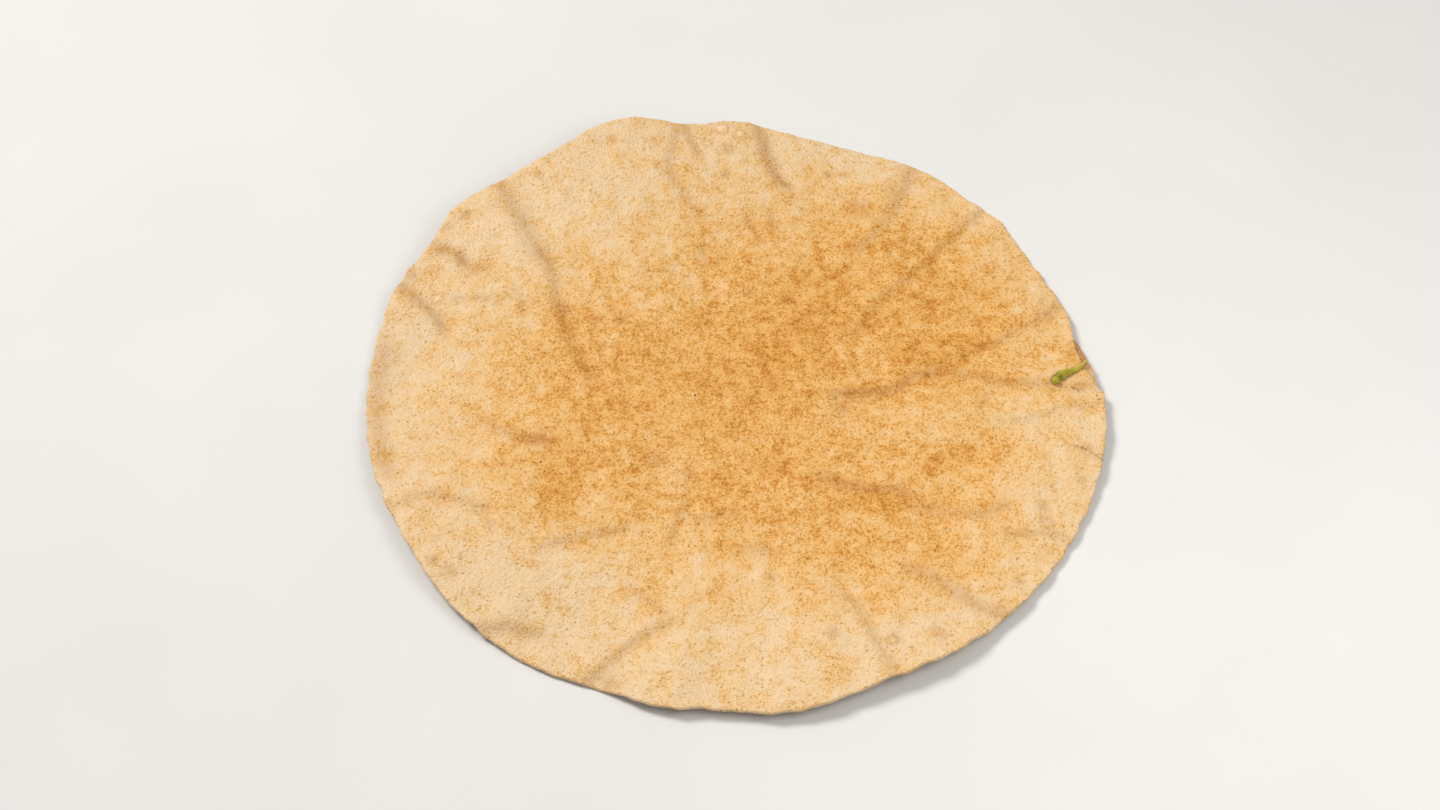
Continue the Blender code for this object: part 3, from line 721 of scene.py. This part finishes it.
def browning(x, y, seed):
    """How brown each point is, and its mottling, without the fine grain."""
    radius = np.hypot(x, y)
    fade = read_off(np.mod(np.degrees(np.arctan2(y, x)), 360), FADE)
    toast = PALE + (BROWN - PALE) * ease(fade + FADE_HALF, fade - FADE_HALF, radius)
    mottling = swells(x, y, MOTTLES, seed + FACE_SEEDS["mottles"])
    for number, (rounds, stretch, added) in enumerate(STREAKS, start=seed + FACE_SEEDS["streaks"]):
        mottling += added * ease(*STREAKS_RANGE, radius) * streaks(x, y, rounds, stretch, number)
    return toast + bulges(x, y, PATCHES), mottling


def blister_shade_and_highlight(x, y):
    """Painted shade round each blister seen in the photograph, with a paler dome inside as a painted
    highlight.
    """
    total = np.zeros_like(x)
    for at_x, at_y, radius, height in BLISTERS:
        away = np.hypot(x - at_x, y - at_y)
        total += BLISTER_SHADE_RING * hump((away - BLISTER_SHADE_PLACE * radius) / BLISTER_SHADE_WIDTH)
        if height > 0:
            total -= BLISTER_SHADE_RING * hump(away / (BLISTER_HIGHLIGHT_SIZE * radius))
    return total


def small_bumps(seed):
    """Scattered small blisters and pits, more of them near the rim."""
    draw = np.random.default_rng(seed)
    rows = []
    for number in range(SMALL_BLISTERS + SMALL_PITS):
        bearing, radius = draw.uniform(0, 360), SMALL_REACH * draw.uniform(0, 1) ** SMALL_CROWDING
        size = draw.uniform(*SMALL_SIZES)
        height = size * draw.uniform(*SMALL_HEIGHTS)
        if number >= SMALL_BLISTERS:
            size, height = PIT_SHARE * size, -PIT_SHARE * height
        rows.append((*on_plan(bearing, radius), size, height))
    return rows


def crisp_face(rings, ring_step, upper):
    """Points of the upper or the lower face, their rings, the rim round them and the values at each."""
    broken_edge, seed = (LEDGE_EDGE, SEEDS["upper"]) if upper else (CHIP_EDGE, SEEDS["lower"])
    reach, bearing, numbers, rim, broken, depth, offset = face_plan(rings, ring_step, broken_edge)
    x, y = on_plan(bearing, reach)
    # The value starts as the creases' brown lines, in part painted shade.
    height, dark = sheet(x, y)
    height += swells(x, y, RUFFLE, SEEDS["ruffle"]) * ease(*RUFFLE_RANGE, reach)
    beside_crack = ease(0, CRACK_STEP_WIDTH, offset) * ease(CRACK_WARP, 0, offset)
    height += CRACK_STEP * beside_crack * ease(*CRACK_STEP_RANGE, reach)
    half = THICKNESS / 2 + swells(x, y, FINE_SWELLS, seed + FACE_SEEDS["relief"])
    half += bumps(x, y, small_bumps(seed + FACE_SEEDS["small"]))
    toast, mottle = browning(x, y, seed)
    if upper:
        half += bumps(x, y, BLISTERS) - CRACK_DEPTH * depth
        freckles = [(*place, size, size, 0, FRECKLE_BROWNING) for *place, size in FRECKLES]
        # Freckles are browning; round the blisters this adds painted shade and a painted highlight.
        dark += bulges(x, y, freckles) + blister_shade_and_highlight(x, y)
    else:
        half = CRACK_UNDER_DEPTH * depth - half
        toast, dark = UNDER_BROWNING * toast, UNDER_BROWNING * dark
    values = {"toast": toast, "mottle": mottle, "dark": dark, "crack": depth}
    return np.column_stack([x, y, height + half]), numbers, bearing, rim, broken, values


def edge_rows(edge_top, edge_low, bearing, ledge, rim, low_rim, broken, notch):
    """Rows of points round the edge: rounded, or with the profile of the ledge where there is one."""
    middle = (edge_top + edge_low) / 2
    half = (edge_top[:, 2] - edge_low[:, 2]) / 2
    reach, top_reach = np.hypot(*middle[:, :2].T), np.hypot(*edge_top[:, :2].T)
    room = np.maximum(rim - reach, 0) * (1 - notch) - CRACK_NOTCH * notch
    roughness, length = BROKEN_ROUGHNESS
    rows = []
    for row, (ledge_out, ledge_up, _) in enumerate(LEDGE_PROFILE, start=1):
        turn = math.pi * row / (RIM_ROWS + 1)
        out = reach + room * math.sin(turn)
        out += ledge * (top_reach + ledge_out * (low_rim - top_reach) - out)
        out += broken * roughness * waves_round(bearing, length, SEEDS["edge"] + row)
        up = math.cos(turn) + ledge * (ledge_up - math.cos(turn))
        rows.append(np.column_stack([*on_plan(bearing, out), middle[:, 2] + half * up]))
    return rows


def crisp_mesh(shift):
    """Points, triangles, bake layout and values of the whole crisp."""
    top, rings, bearing, rim, broken, top_values = crisp_face(TOP_RINGS, TOP_RING_STEP, True)
    low, low_rings, _, low_rim, _, low_values = crisp_face(UNDER_RINGS, UNDER_RING_STEP, False)
    low[:, 2] = np.maximum(low[:, 2], -shift[2])
    last, low_last = rings[-1], low_rings[-1]
    bearing, rim, low_rim, broken = bearing[last], rim[last], low_rim[low_last], broken[last]
    ledge = ease(*LEDGE_RANGE, low_rim - rim)
    notch = top_values["crack"][last]
    rows = edge_rows(top[last], low[low_last], bearing, ledge, rim, low_rim, broken, notch)
    points = np.concatenate([top, low] + rows)

    first = len(top) + len(low)
    low_rings = [ring + len(top) for ring in low_rings]
    edge_loops = [np.arange(RIM_POINTS) + first + row * RIM_POINTS for row in range(RIM_ROWS)]
    loops = [last, *edge_loops, low_rings[-1]]
    outer_faces = bands(rings) + bands(loops)
    low_faces = [(a, c, b) for a, b, c in bands(low_rings)]

    values = {}
    shares = [row / (RIM_ROWS + 1) for row in range(1, RIM_ROWS + 1)]
    for name, value in top_values.items():
        low_value = low_values[name]
        blends = [value[last] * (1 - share) + low_value[low_last] * share for share in shares]
        values[name] = np.concatenate([value, low_value] + blends)
    faces_only = [np.zeros(first)]
    values["crumb"] = np.concatenate(faces_only + [broken] * RIM_ROWS)
    values["ledge"] = np.concatenate(faces_only + [ledge * share for _, _, share in LEDGE_PROFILE])
    values["grey_shade"] = np.clip(bulges(*points[:, :2].T, GREY_SHADE_PATCHES), 0, 1)
    layout = bake_layout(points, loops, outer_faces, low_faces)
    return points + shift, outer_faces + low_faces, layout, values


def bake_layout(points, loops, outer_faces, low_faces):
    """Places of the corners on a flat square: a disc for the upper face and rim, one for the lower face."""
    x, y, _ = points.T
    reach, turn = np.hypot(x, y), np.arctan2(y, x)
    unrolled = reach.copy()
    for inner, outer in zip(loops, loops[1:]):
        unrolled[outer] = unrolled[inner] + np.linalg.norm(points[outer] - points[inner], axis=1)
    places = []
    discs = (outer_faces, unrolled, 1), (low_faces, reach, -1)
    for (faces, out, side), (u, v, size) in zip(discs, BAKE_DISCS):
        scaled = size / out.max() * out
        place = np.column_stack([u + side * scaled * np.cos(turn), v + scaled * np.sin(turn)])
        places.append(place[np.array(faces).ravel()])
    return np.concatenate(places)


def mesh_object(name, points, faces, look, values=None, layout=None):
    """A smooth-shaded piece from points in millimetres, with its values stored at each point."""
    mesh = bpy.data.meshes.new(name)
    mesh.from_pydata(points * MM, [], faces)
    for label, value in (values or {}).items():
        mesh.attributes.new(label, "FLOAT", "POINT").data.foreach_set("value", value.astype(np.float32))
    if layout is not None:
        mesh.uv_layers.new(name="OFBake").data.foreach_set("uv", layout.astype(np.float32).ravel())
    mesh.materials.append(look)
    mesh.shade_smooth()
    mesh.validate()
    piece = bpy.data.objects.new(name, mesh)
    bpy.context.scene.collection.objects.link(piece)
    return piece


class Look:
    """A material whose nodes are added one call at a time."""

    def __init__(self, name):
        self.material = bpy.data.materials.new(name)
        self.material.use_nodes = True
        self.tree = self.material.node_tree
        self.shader = self.tree.nodes["Principled BSDF"]

    def feed(self, socket, value):
        """Links a node's output to the socket, or sets the socket to a constant."""
        if isinstance(value, bpy.types.NodeSocket):
            self.tree.links.new(value, socket)
        else:
            socket.default_value = value

    def add(self, kind, inputs, **settings):
        node = self.tree.nodes.new("ShaderNode" + kind)
        for label, value in settings.items():
            setattr(node, label, value)
        for label, value in inputs.items():
            self.feed(node.inputs[label], value)
        return node

    def set(self, **inputs):
        for label, value in inputs.items():
            self.feed(self.shader.inputs[label.replace("_", " ")], value)

    def math(self, operation, first, second=0, third=0):
        return self.add("Math", {0: first, 1: second, 2: third}, operation=operation).outputs[0]

    def times(self, first, second, plus=None):
        """The product of two values, with a third one added where it is given."""
        if plus is None:
            return self.math("MULTIPLY", first, second)
        return self.math("MULTIPLY_ADD", first, second, plus)

    def between(self, share, first, last):
        """The value at this share of the way from the first to the last."""
        return self.times(share, last - first, first)

    def vector(self, operation, first, second, output="Vector"):
        return self.add("VectorMath", {0: first, 1: second}, operation=operation).outputs[output]

    def spread(self, value, low, high, bottom=0, top=1):
        """Maps low to high onto bottom to top with a smooth rise."""
        inputs = {"Value": value, "From Min": low, "From Max": high, "To Min": bottom, "To Max": top}
        return self.add("MapRange", inputs, interpolation_type="SMOOTHSTEP").outputs[0]

    def mix(self, share, first, second):
        """Two colours mixed, by the colour sockets of a node that also has others."""
        return self.add("Mix", {0: share, 6: first, 7: second}, data_type="RGBA").outputs[2]

    def value(self, name):
        return self.add("Attribute", {}, attribute_name=name).outputs["Fac"]

    def laid_over(self, colour, name, strength, second):
        """The colour with a second one over it where the named value is high."""
        return self.mix(self.times(self.value(name), strength), colour, second)

    def deepened(self, colour, amount, shares):
        """The colour with browning over it that takes these shares of its red, green and blue."""
        parts = [self.math("POWER", math.exp(-share), amount) for share in shares]
        tint = self.add("CombineColor", dict(enumerate(parts))).outputs[0]
        return self.vector("MULTIPLY", colour, tint)

    def place(self):
        """The point's place on the piece, in millimetres."""
        coordinates = self.add("TexCoord", {}).outputs["Object"]
        return self.add("VectorMath", {0: coordinates, "Scale": 1 / MM}, operation="SCALE").outputs[0]

    def noise(self, place, cell, detail=0, roughness=0.5, shift=(0, 0, 0), twist=0):
        """Noise from about -1 to 1 with this cell size in millimetres."""
        inputs = {"Vector": self.vector("ADD", place, shift), "Scale": 1 / cell}
        inputs.update({"Detail": detail, "Roughness": roughness, "Distortion": twist})
        return self.times(self.add("TexNoise", inputs).outputs[0], 2, -1)

    def noises(self, place, rows, detail, roughness, shift, total=0):
        """Noises added up: cell size and depth of each. The shift's Y is the step between them."""
        x, step, z = shift
        for number, (cell, depth) in enumerate(rows):
            made = self.noise(place, cell, detail, roughness, (x, step * number, z))
            total = self.times(made, depth, total)
        return total

    def spots(self, place, spacing, smallest, largest, shift=(0, 0, 0)):
        """Scattered round spots: 1 inside and 0 outside, a number for each, and the share of its radius."""
        inputs = {"Vector": self.vector("ADD", place, shift), "Scale": 1 / spacing}
        made = self.add("TexVoronoi", inputs, voronoi_dimensions="2D")
        size, number, _ = self.add("SeparateColor", {0: made.outputs["Color"]}).outputs
        size = self.spread(size, 0, 1, smallest / spacing, largest / spacing)
        share = self.math("DIVIDE", made.outputs["Distance"], size)
        return self.spread(share, *SPOT_EDGE), number, share

    def bump(self, height, depth):
        return self.add("Bump", {"Height": height, "Distance": depth * MM, "Strength": 1}).outputs[0]


def browned(look, toast):
    """The crisp's colour at this browning."""
    low, high = BROWNING_RANGE
    share = look.add("MapRange", {"Value": toast, "From Min": low, "From Max": high}).outputs[0]
    ramp = look.add("ValToRGB", {0: share})
    stops = ramp.color_ramp.elements
    while len(stops) < len(BROWNING_COLOURS):
        stops.new(0.5)
    for stop, (level, colour) in zip(stops, BROWNING_COLOURS):
        stop.position = (level - low) / (high - low)
        stop.color = tuple((part - SHEEN_LIGHT) / EXPOSURE for part in colour) + (1,)
    return ramp.outputs[0]


def ground_colour(look, toast, mottle, brown):
    """The dough's colour under its flecks, deeper at freckles, creases and blisters, in part painted shade.
    """
    uneven = look.times(mottle, look.between(brown, *GROUND_MOTTLING), toast)
    ground = look.math("SUBTRACT", uneven, look.between(brown, *GROUND_PALER))
    return look.deepened(browned(look, ground), look.value("dark"), BROWNING_AND_SHADE_COLOUR)


def grain(look, place, mottle, brown):
    """How deep the even grain and the brown flecks are."""
    deep = look.noises(place, GRAIN_CELLS, *GRAIN_NOISE)
    rise = look.noises(place, FLECK_CLUSTERS, *CLUSTER_NOISE, look.times(mottle, FLECK_MOTTLING))
    for number, (cell, depth, *levels) in enumerate(FLECKS):
        shift = (FLECK_SHIFT[0], 0, FLECK_SHIFT[1] * number)
        noise = look.noise(place, cell, *FLECK_NOISE, shift, FLECK_TWIST)
        level = look.between(brown, *levels)
        above = look.math("SUBTRACT", look.math("ADD", noise, rise), level)
        deep = look.times(look.spread(above, -FLECK_EDGE, FLECK_EDGE), depth, deep)
    return look.times(deep, look.between(brown, *FLECK_STRENGTHS))


def leaning_place(look, place):
    """The place with its height added sideways, so that flat patterns don't streak the edge."""
    parts = look.add("SeparateXYZ", {0: place}).outputs
    across = look.times(parts[2], DOT_LEAN[0], parts[0])
    along = look.times(parts[2], DOT_LEAN[1], parts[1])
    return look.add("CombineXYZ", {0: across, 1: along}).outputs[0]


def dots(look, place, leaning, brown):
    """How deep the brown dots are, and where there is one."""
    crowd = look.noises(place, DOT_CROWDING, *CROWD_NOISE)
    deep, dotted = 0, 0
    for spacing, smallest, largest, depth, pale_share, brown_share, start in DOTS:
        spot, number, _ = look.spots(leaning, spacing, smallest, largest, start)
        share = look.between(brown, pale_share, brown_share)
        share = look.times(crowd, pale_share + brown_share, share)
        dot = look.times(spot, look.math("GREATER_THAN", share, number))
        deep = look.times(dot, depth, deep)
        dotted = look.math("MAXIMUM", dotted, dot)
    return deep, dotted


def rings(look, leaning, toast):
    """Faint brown rings, only where the crisp is pale."""
    _, number, share = look.spots(leaning, *RINGS_SPACING_AND_SIZE, RINGS_START)
    ring = look.times(look.spread(share, *RING_INSIDE), look.spread(share, *RING_OUTSIDE))
    ring = look.times(ring, look.spread(number, *RING_CHOICE))
    return look.times(ring, look.spread(toast, *RING_BROWNING))


def pin_hole_shaded(look, place, shift, colour):
    """The colour with the painted shade of the pin holes over it."""
    parts = look.add("SeparateXYZ", {0: place}).outputs
    flat = look.add("CombineXYZ", {0: parts[0], 1: parts[1]}).outputs[0]
    for at_x, at_y, radius in PIN_HOLES:
        hole = (at_x + shift[0], at_y + shift[1], 0)
        away = look.vector("DISTANCE", flat, hole, "Value")
        colour = look.mix(look.spread(away, radius, PIN_HOLE_CORE * radius), colour, PIN_HOLE_SHADE_COLOUR)
    return colour


def edge_coloured(look, place, deep, colour):
    """The colour with the rim's grey patches, partly painted shade, the broken edge, the ledge and the
    crack's shade.
    """
    colour = look.laid_over(colour, "grey_shade", GREY_SHADE_STRENGTH, GREY_SHADE_COLOUR)
    colour = look.laid_over(colour, "crumb", CRUMB_STRENGTH, CRUMB_COLOUR)
    along_y = look.add("SeparateXYZ", {0: place}).outputs[1]
    ledge_colour = look.mix(look.spread(along_y, *LEDGE_FADE), *LEDGE_COLOURS)
    ledge_colour = look.deepened(ledge_colour, look.times(deep, LEDGE_GRAIN), GRAIN_COLOUR)
    colour = look.mix(look.value("ledge"), colour, ledge_colour)
    # The crack's dark colour is painted shade in its groove.
    return look.laid_over(colour, "crack", CRACK_SHADE_STRENGTH, CRACK_SHADE_COLOUR)


def crisp_look(shift):
    """Dry fried dough: golden to brown, grainy, with brown specks, pin holes of painted shade and a faint
    oily sheen.
    """
    look = Look("fried_crisp")
    place = look.place()
    leaning = leaning_place(look, place)
    toast, mottle = look.value("toast"), look.value("mottle")
    brown = look.spread(toast, *FLECK_RANGE)
    deep = grain(look, place, mottle, brown)
    deep = look.times(rings(look, leaning, toast), RING_DEPTH, deep)
    dots_deep, dotted = dots(look, place, leaning, brown)
    colour = ground_colour(look, toast, mottle, brown)
    colour = look.deepened(colour, deep, GRAIN_COLOUR)
    colour = look.deepened(colour, dots_deep, DOT_COLOUR)
    colour = pin_hole_shaded(look, place, shift, colour)
    colour = edge_coloured(look, place, deep, colour)

    relief = look.times(look.noise(place, *RELIEF_NOISE), 0.5, 0.5)
    relief = look.times(dotted, SPECK_DEPTH, relief)
    relief = look.times(relief, look.between(brown, *BUMP_SHARES))
    rough = look.times(look.noise(place, *ROUGHNESS_NOISE), *ROUGHNESS)
    normal = look.bump(relief, BUMP_DEPTH)
    look.set(Base_Color=colour, Roughness=rough, Normal=normal, Specular_IOR_Level=CRISP_SHINE)
    return look.material


def herb_line(along):
    """The herb's middle line, the direction to its left and its half width, at each place along it."""
    knots = np.linspace(0, 1, len(SLIVER_LINE))
    middle = np.column_stack([np.interp(along, knots, column) for column in zip(*SLIVER_LINE)])
    for _ in range(SLIVER_SMOOTHING):
        middle[1:-1] = (middle[:-2] + 2 * middle[1:-1] + middle[2:]) / 4
    run = np.gradient(middle, axis=0)
    run /= np.linalg.norm(run, axis=1)[:, None]
    width = np.interp(along, knots, SLIVER_HALF_WIDTHS)
    width *= 1 + sum(size * np.sin(rate * along + start) for size, rate, start in SLIVER_WAVES)
    for share, end, inwards in SLIVER_ENDS:
        width *= share + (1 - share) * ease(end, inwards, along)
    return middle, np.column_stack([-run[:, 1], run[:, 0]]), width


def blade_faces(rows, columns):
    """Triangles of a lower and an upper grid of points, and of the edge between them."""
    grid = np.arange(rows * columns).reshape(rows, columns)
    upper = grid.size
    faces = []
    for a, b in zip(grid[:-1, :-1].ravel(), grid[1:, :-1].ravel()):
        faces += [(a, a + 1, b + 1), (a, b + 1, b)]
        faces += [(upper + a, upper + b + 1, upper + a + 1), (upper + a, upper + b, upper + b + 1)]
    border = [*grid[0], *grid[1:, -1], *grid[-1, -2::-1], *grid[-2:0:-1, 0]]
    for here, following in zip(border, border[1:] + border[:1]):
        faces += [(here, upper + following, following), (here, upper + here, upper + following)]
    return faces


def herb_mesh(shift):
    """Points, faces and values of the herb sliver: a lobed leaf end that narrows to a flat, thin arm."""
    along, across = np.linspace(0, 1, SLIVER_ALONG + 1), np.linspace(-1, 1, SLIVER_ACROSS + 1)
    middle, side, width = herb_line(along)
    u, v = np.meshgrid(along, across, indexing="ij")
    plan = middle[:, None, :] + side[:, None, :] * (width[:, None] * across)[:, :, None]
    (arch, *arch_range), (tilt, *tilt_range), (ripple, rate_u, rate_v) = ARM_ARCH, ARM_TILT, ARM_RIPPLE
    rise = arch * (1 - v**2) * ease(*arch_range, u) + tilt * v * ease(*tilt_range, u)
    rise += ripple * np.sin(rate_u * u + rate_v * v) + bulges(u, v, LOBES)
    floor = (sheet(plan[..., 0], plan[..., 1])[0] + THICKNESS / 2).max(axis=1, keepdims=True)
    low = floor + SLIVER_GAP + rise - SLIVER_SINKING * rise.min(axis=1, keepdims=True)
    end_share, end_reach = THIN_ENDS
    ends = ease(0, end_reach, u) * ease(1, 1 - end_reach, u)
    thick = SLIVER_THICKNESS * (1 - THIN_SIDES * v**4) * (end_share + (1 - end_share) * ends)
    faces = [np.dstack([plan, height]).reshape(-1, 3) for height in (low, low + thick)]
    # Where the folds get painted shade.
    fold_shade = np.clip(bulges(u, v, LEAF_FOLD_SHADES), 0, 1)
    values = {"along": u, "across": v, "fold_shade": fold_shade}
    values = {name: np.tile(value.ravel(), 2) for name, value in values.items()}
    return np.concatenate(faces) + shift, blade_faces(*u.shape), values


def herb_look():
    """A moist green leaf, yellower along the thin arm, with fine veins and painted shade in its folds and at
    its rim.
    """
    look = Look("herb_leaf")
    along, across = look.value("along"), look.value("across")
    blotch = look.noise(look.place(), *LEAF_BLOTCHES)
    yellow = look.times(blotch, LEAF_BLOTCH_SHARE, look.spread(along, *LEAF_YELLOW_FROM))
    colour = look.mix(look.spread(yellow, *LEAF_YELLOW_RANGE), LEAF_COLOUR, LEAF_TIP_COLOUR)
    vein = look.math("SINE", look.times(across, VEIN_RATES[0], look.times(along, VEIN_RATES[1])))
    vein = look.spread(vein, *VEIN_RANGE)
    colour = look.mix(look.times(vein, VEIN_STRENGTH), colour, LEAF_TIP_COLOUR)
    # Painted shade in the folds.
    colour = look.laid_over(colour, "fold_shade", LEAF_FOLD_SHADE_STRENGTH, LEAF_SHADE_COLOUR)
    # Painted shade along the leaf's rim.
    rim = look.spread(look.math("ABSOLUTE", across), *LEAF_EDGE_SHADE_RANGE)
    colour = look.mix(look.times(rim, LEAF_EDGE_SHADE_STRENGTH), colour, LEAF_SHADE_COLOUR)
    look.set(
        Base_Color=colour,
        Roughness=look.times(blotch, *LEAF_ROUGHNESS),
        Normal=look.bump(look.math("ADD", vein, blotch), LEAF_BUMP_DEPTH),
        Specular_IOR_Level=LEAF_SHINE,
        Subsurface_Weight=LEAF_GLOW[0],
        Subsurface_Scale=LEAF_GLOW[1] * MM,
    )
    return look.material


def floor_look():
    look = Look("studio_floor")
    clouds = look.spread(look.noise(look.place(), *FLOOR_CLOUDS), -1, 1)
    look.set(Base_Color=look.mix(clouds, *FLOOR_COLOURS), Roughness=FLOOR_ROUGHNESS)
    look.set(Specular_IOR_Level=FLOOR_SHINE)
    return look.material


def soft_light(name, bearing, elevation, distance, size, power, colour):
    """A round area light that looks at the middle of the floor."""
    light = bpy.data.lights.new(name, "AREA")
    light.shape = "DISK"
    light.size = size
    light.energy = power
    light.color = colour
    lamp = bpy.data.objects.new(name, light)
    bearing, elevation = math.radians(bearing), math.radians(elevation)
    flat = math.cos(elevation)
    away = Vector((flat * math.cos(bearing), flat * math.sin(bearing), math.sin(elevation)))
    lamp.location = away * distance
    lamp.rotation_euler = away.to_track_quat("Z", "Y").to_euler()
    bpy.context.scene.collection.objects.link(lamp)


def studio():
    """A pale floor and sky, a soft light from behind on the left and a fill from the front right."""
    half = FLOOR_SIZE / 2
    points = np.array([(-half, -half, 0), (half, -half, 0), (half, half, 0), (-half, half, 0)], float)
    floor = mesh_object("studio_floor", points, [(0, 1, 2), (0, 2, 3)], floor_look())

    world = bpy.data.worlds.new("studio_sky")
    world.use_nodes = True
    sky = world.node_tree.nodes["Background"]
    sky.inputs["Color"].default_value = SKY_COLOUR
    sky.inputs["Strength"].default_value = SKY_STRENGTH
    bpy.context.scene.world = world

    for row in LIGHTS:
        soft_light(*row)
    bpy.context.scene.view_settings.view_transform = "Standard"


def camera(shift):
    """The photograph's view: from the front, above the crisp."""
    lens = bpy.data.cameras.new("camera")
    lens.lens = LENS
    lens.sensor_width = FILM
    lens.clip_start = NEAREST_SEEN
    elevation = math.radians(CAMERA_ELEVATION)
    back = Vector((0, -math.cos(elevation), math.sin(elevation)))
    target = (Vector(CAMERA_TARGET) + Vector(shift)) * MM
    made = bpy.data.objects.new("camera", lens)
    made.location = target + back * CAMERA_DISTANCE
    made.rotation_euler = back.to_track_quat("Z", "Y").to_euler()
    bpy.context.scene.collection.objects.link(made)
    bpy.context.scene.camera = made


def build():
    shift = set_down()
    points, faces, layout, values = crisp_mesh(shift)
    crisp = mesh_object("fried_poppadom", points, faces, crisp_look(shift), values, layout)
    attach(crisp, "root")
    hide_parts("poppadom")

    points, faces, values = herb_mesh(shift)
    herb = mesh_object("green_herb", points, faces, herb_look(), values)
    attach(herb, "root")
    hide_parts("herb_sliver")

    studio()
    camera(shift)


build()
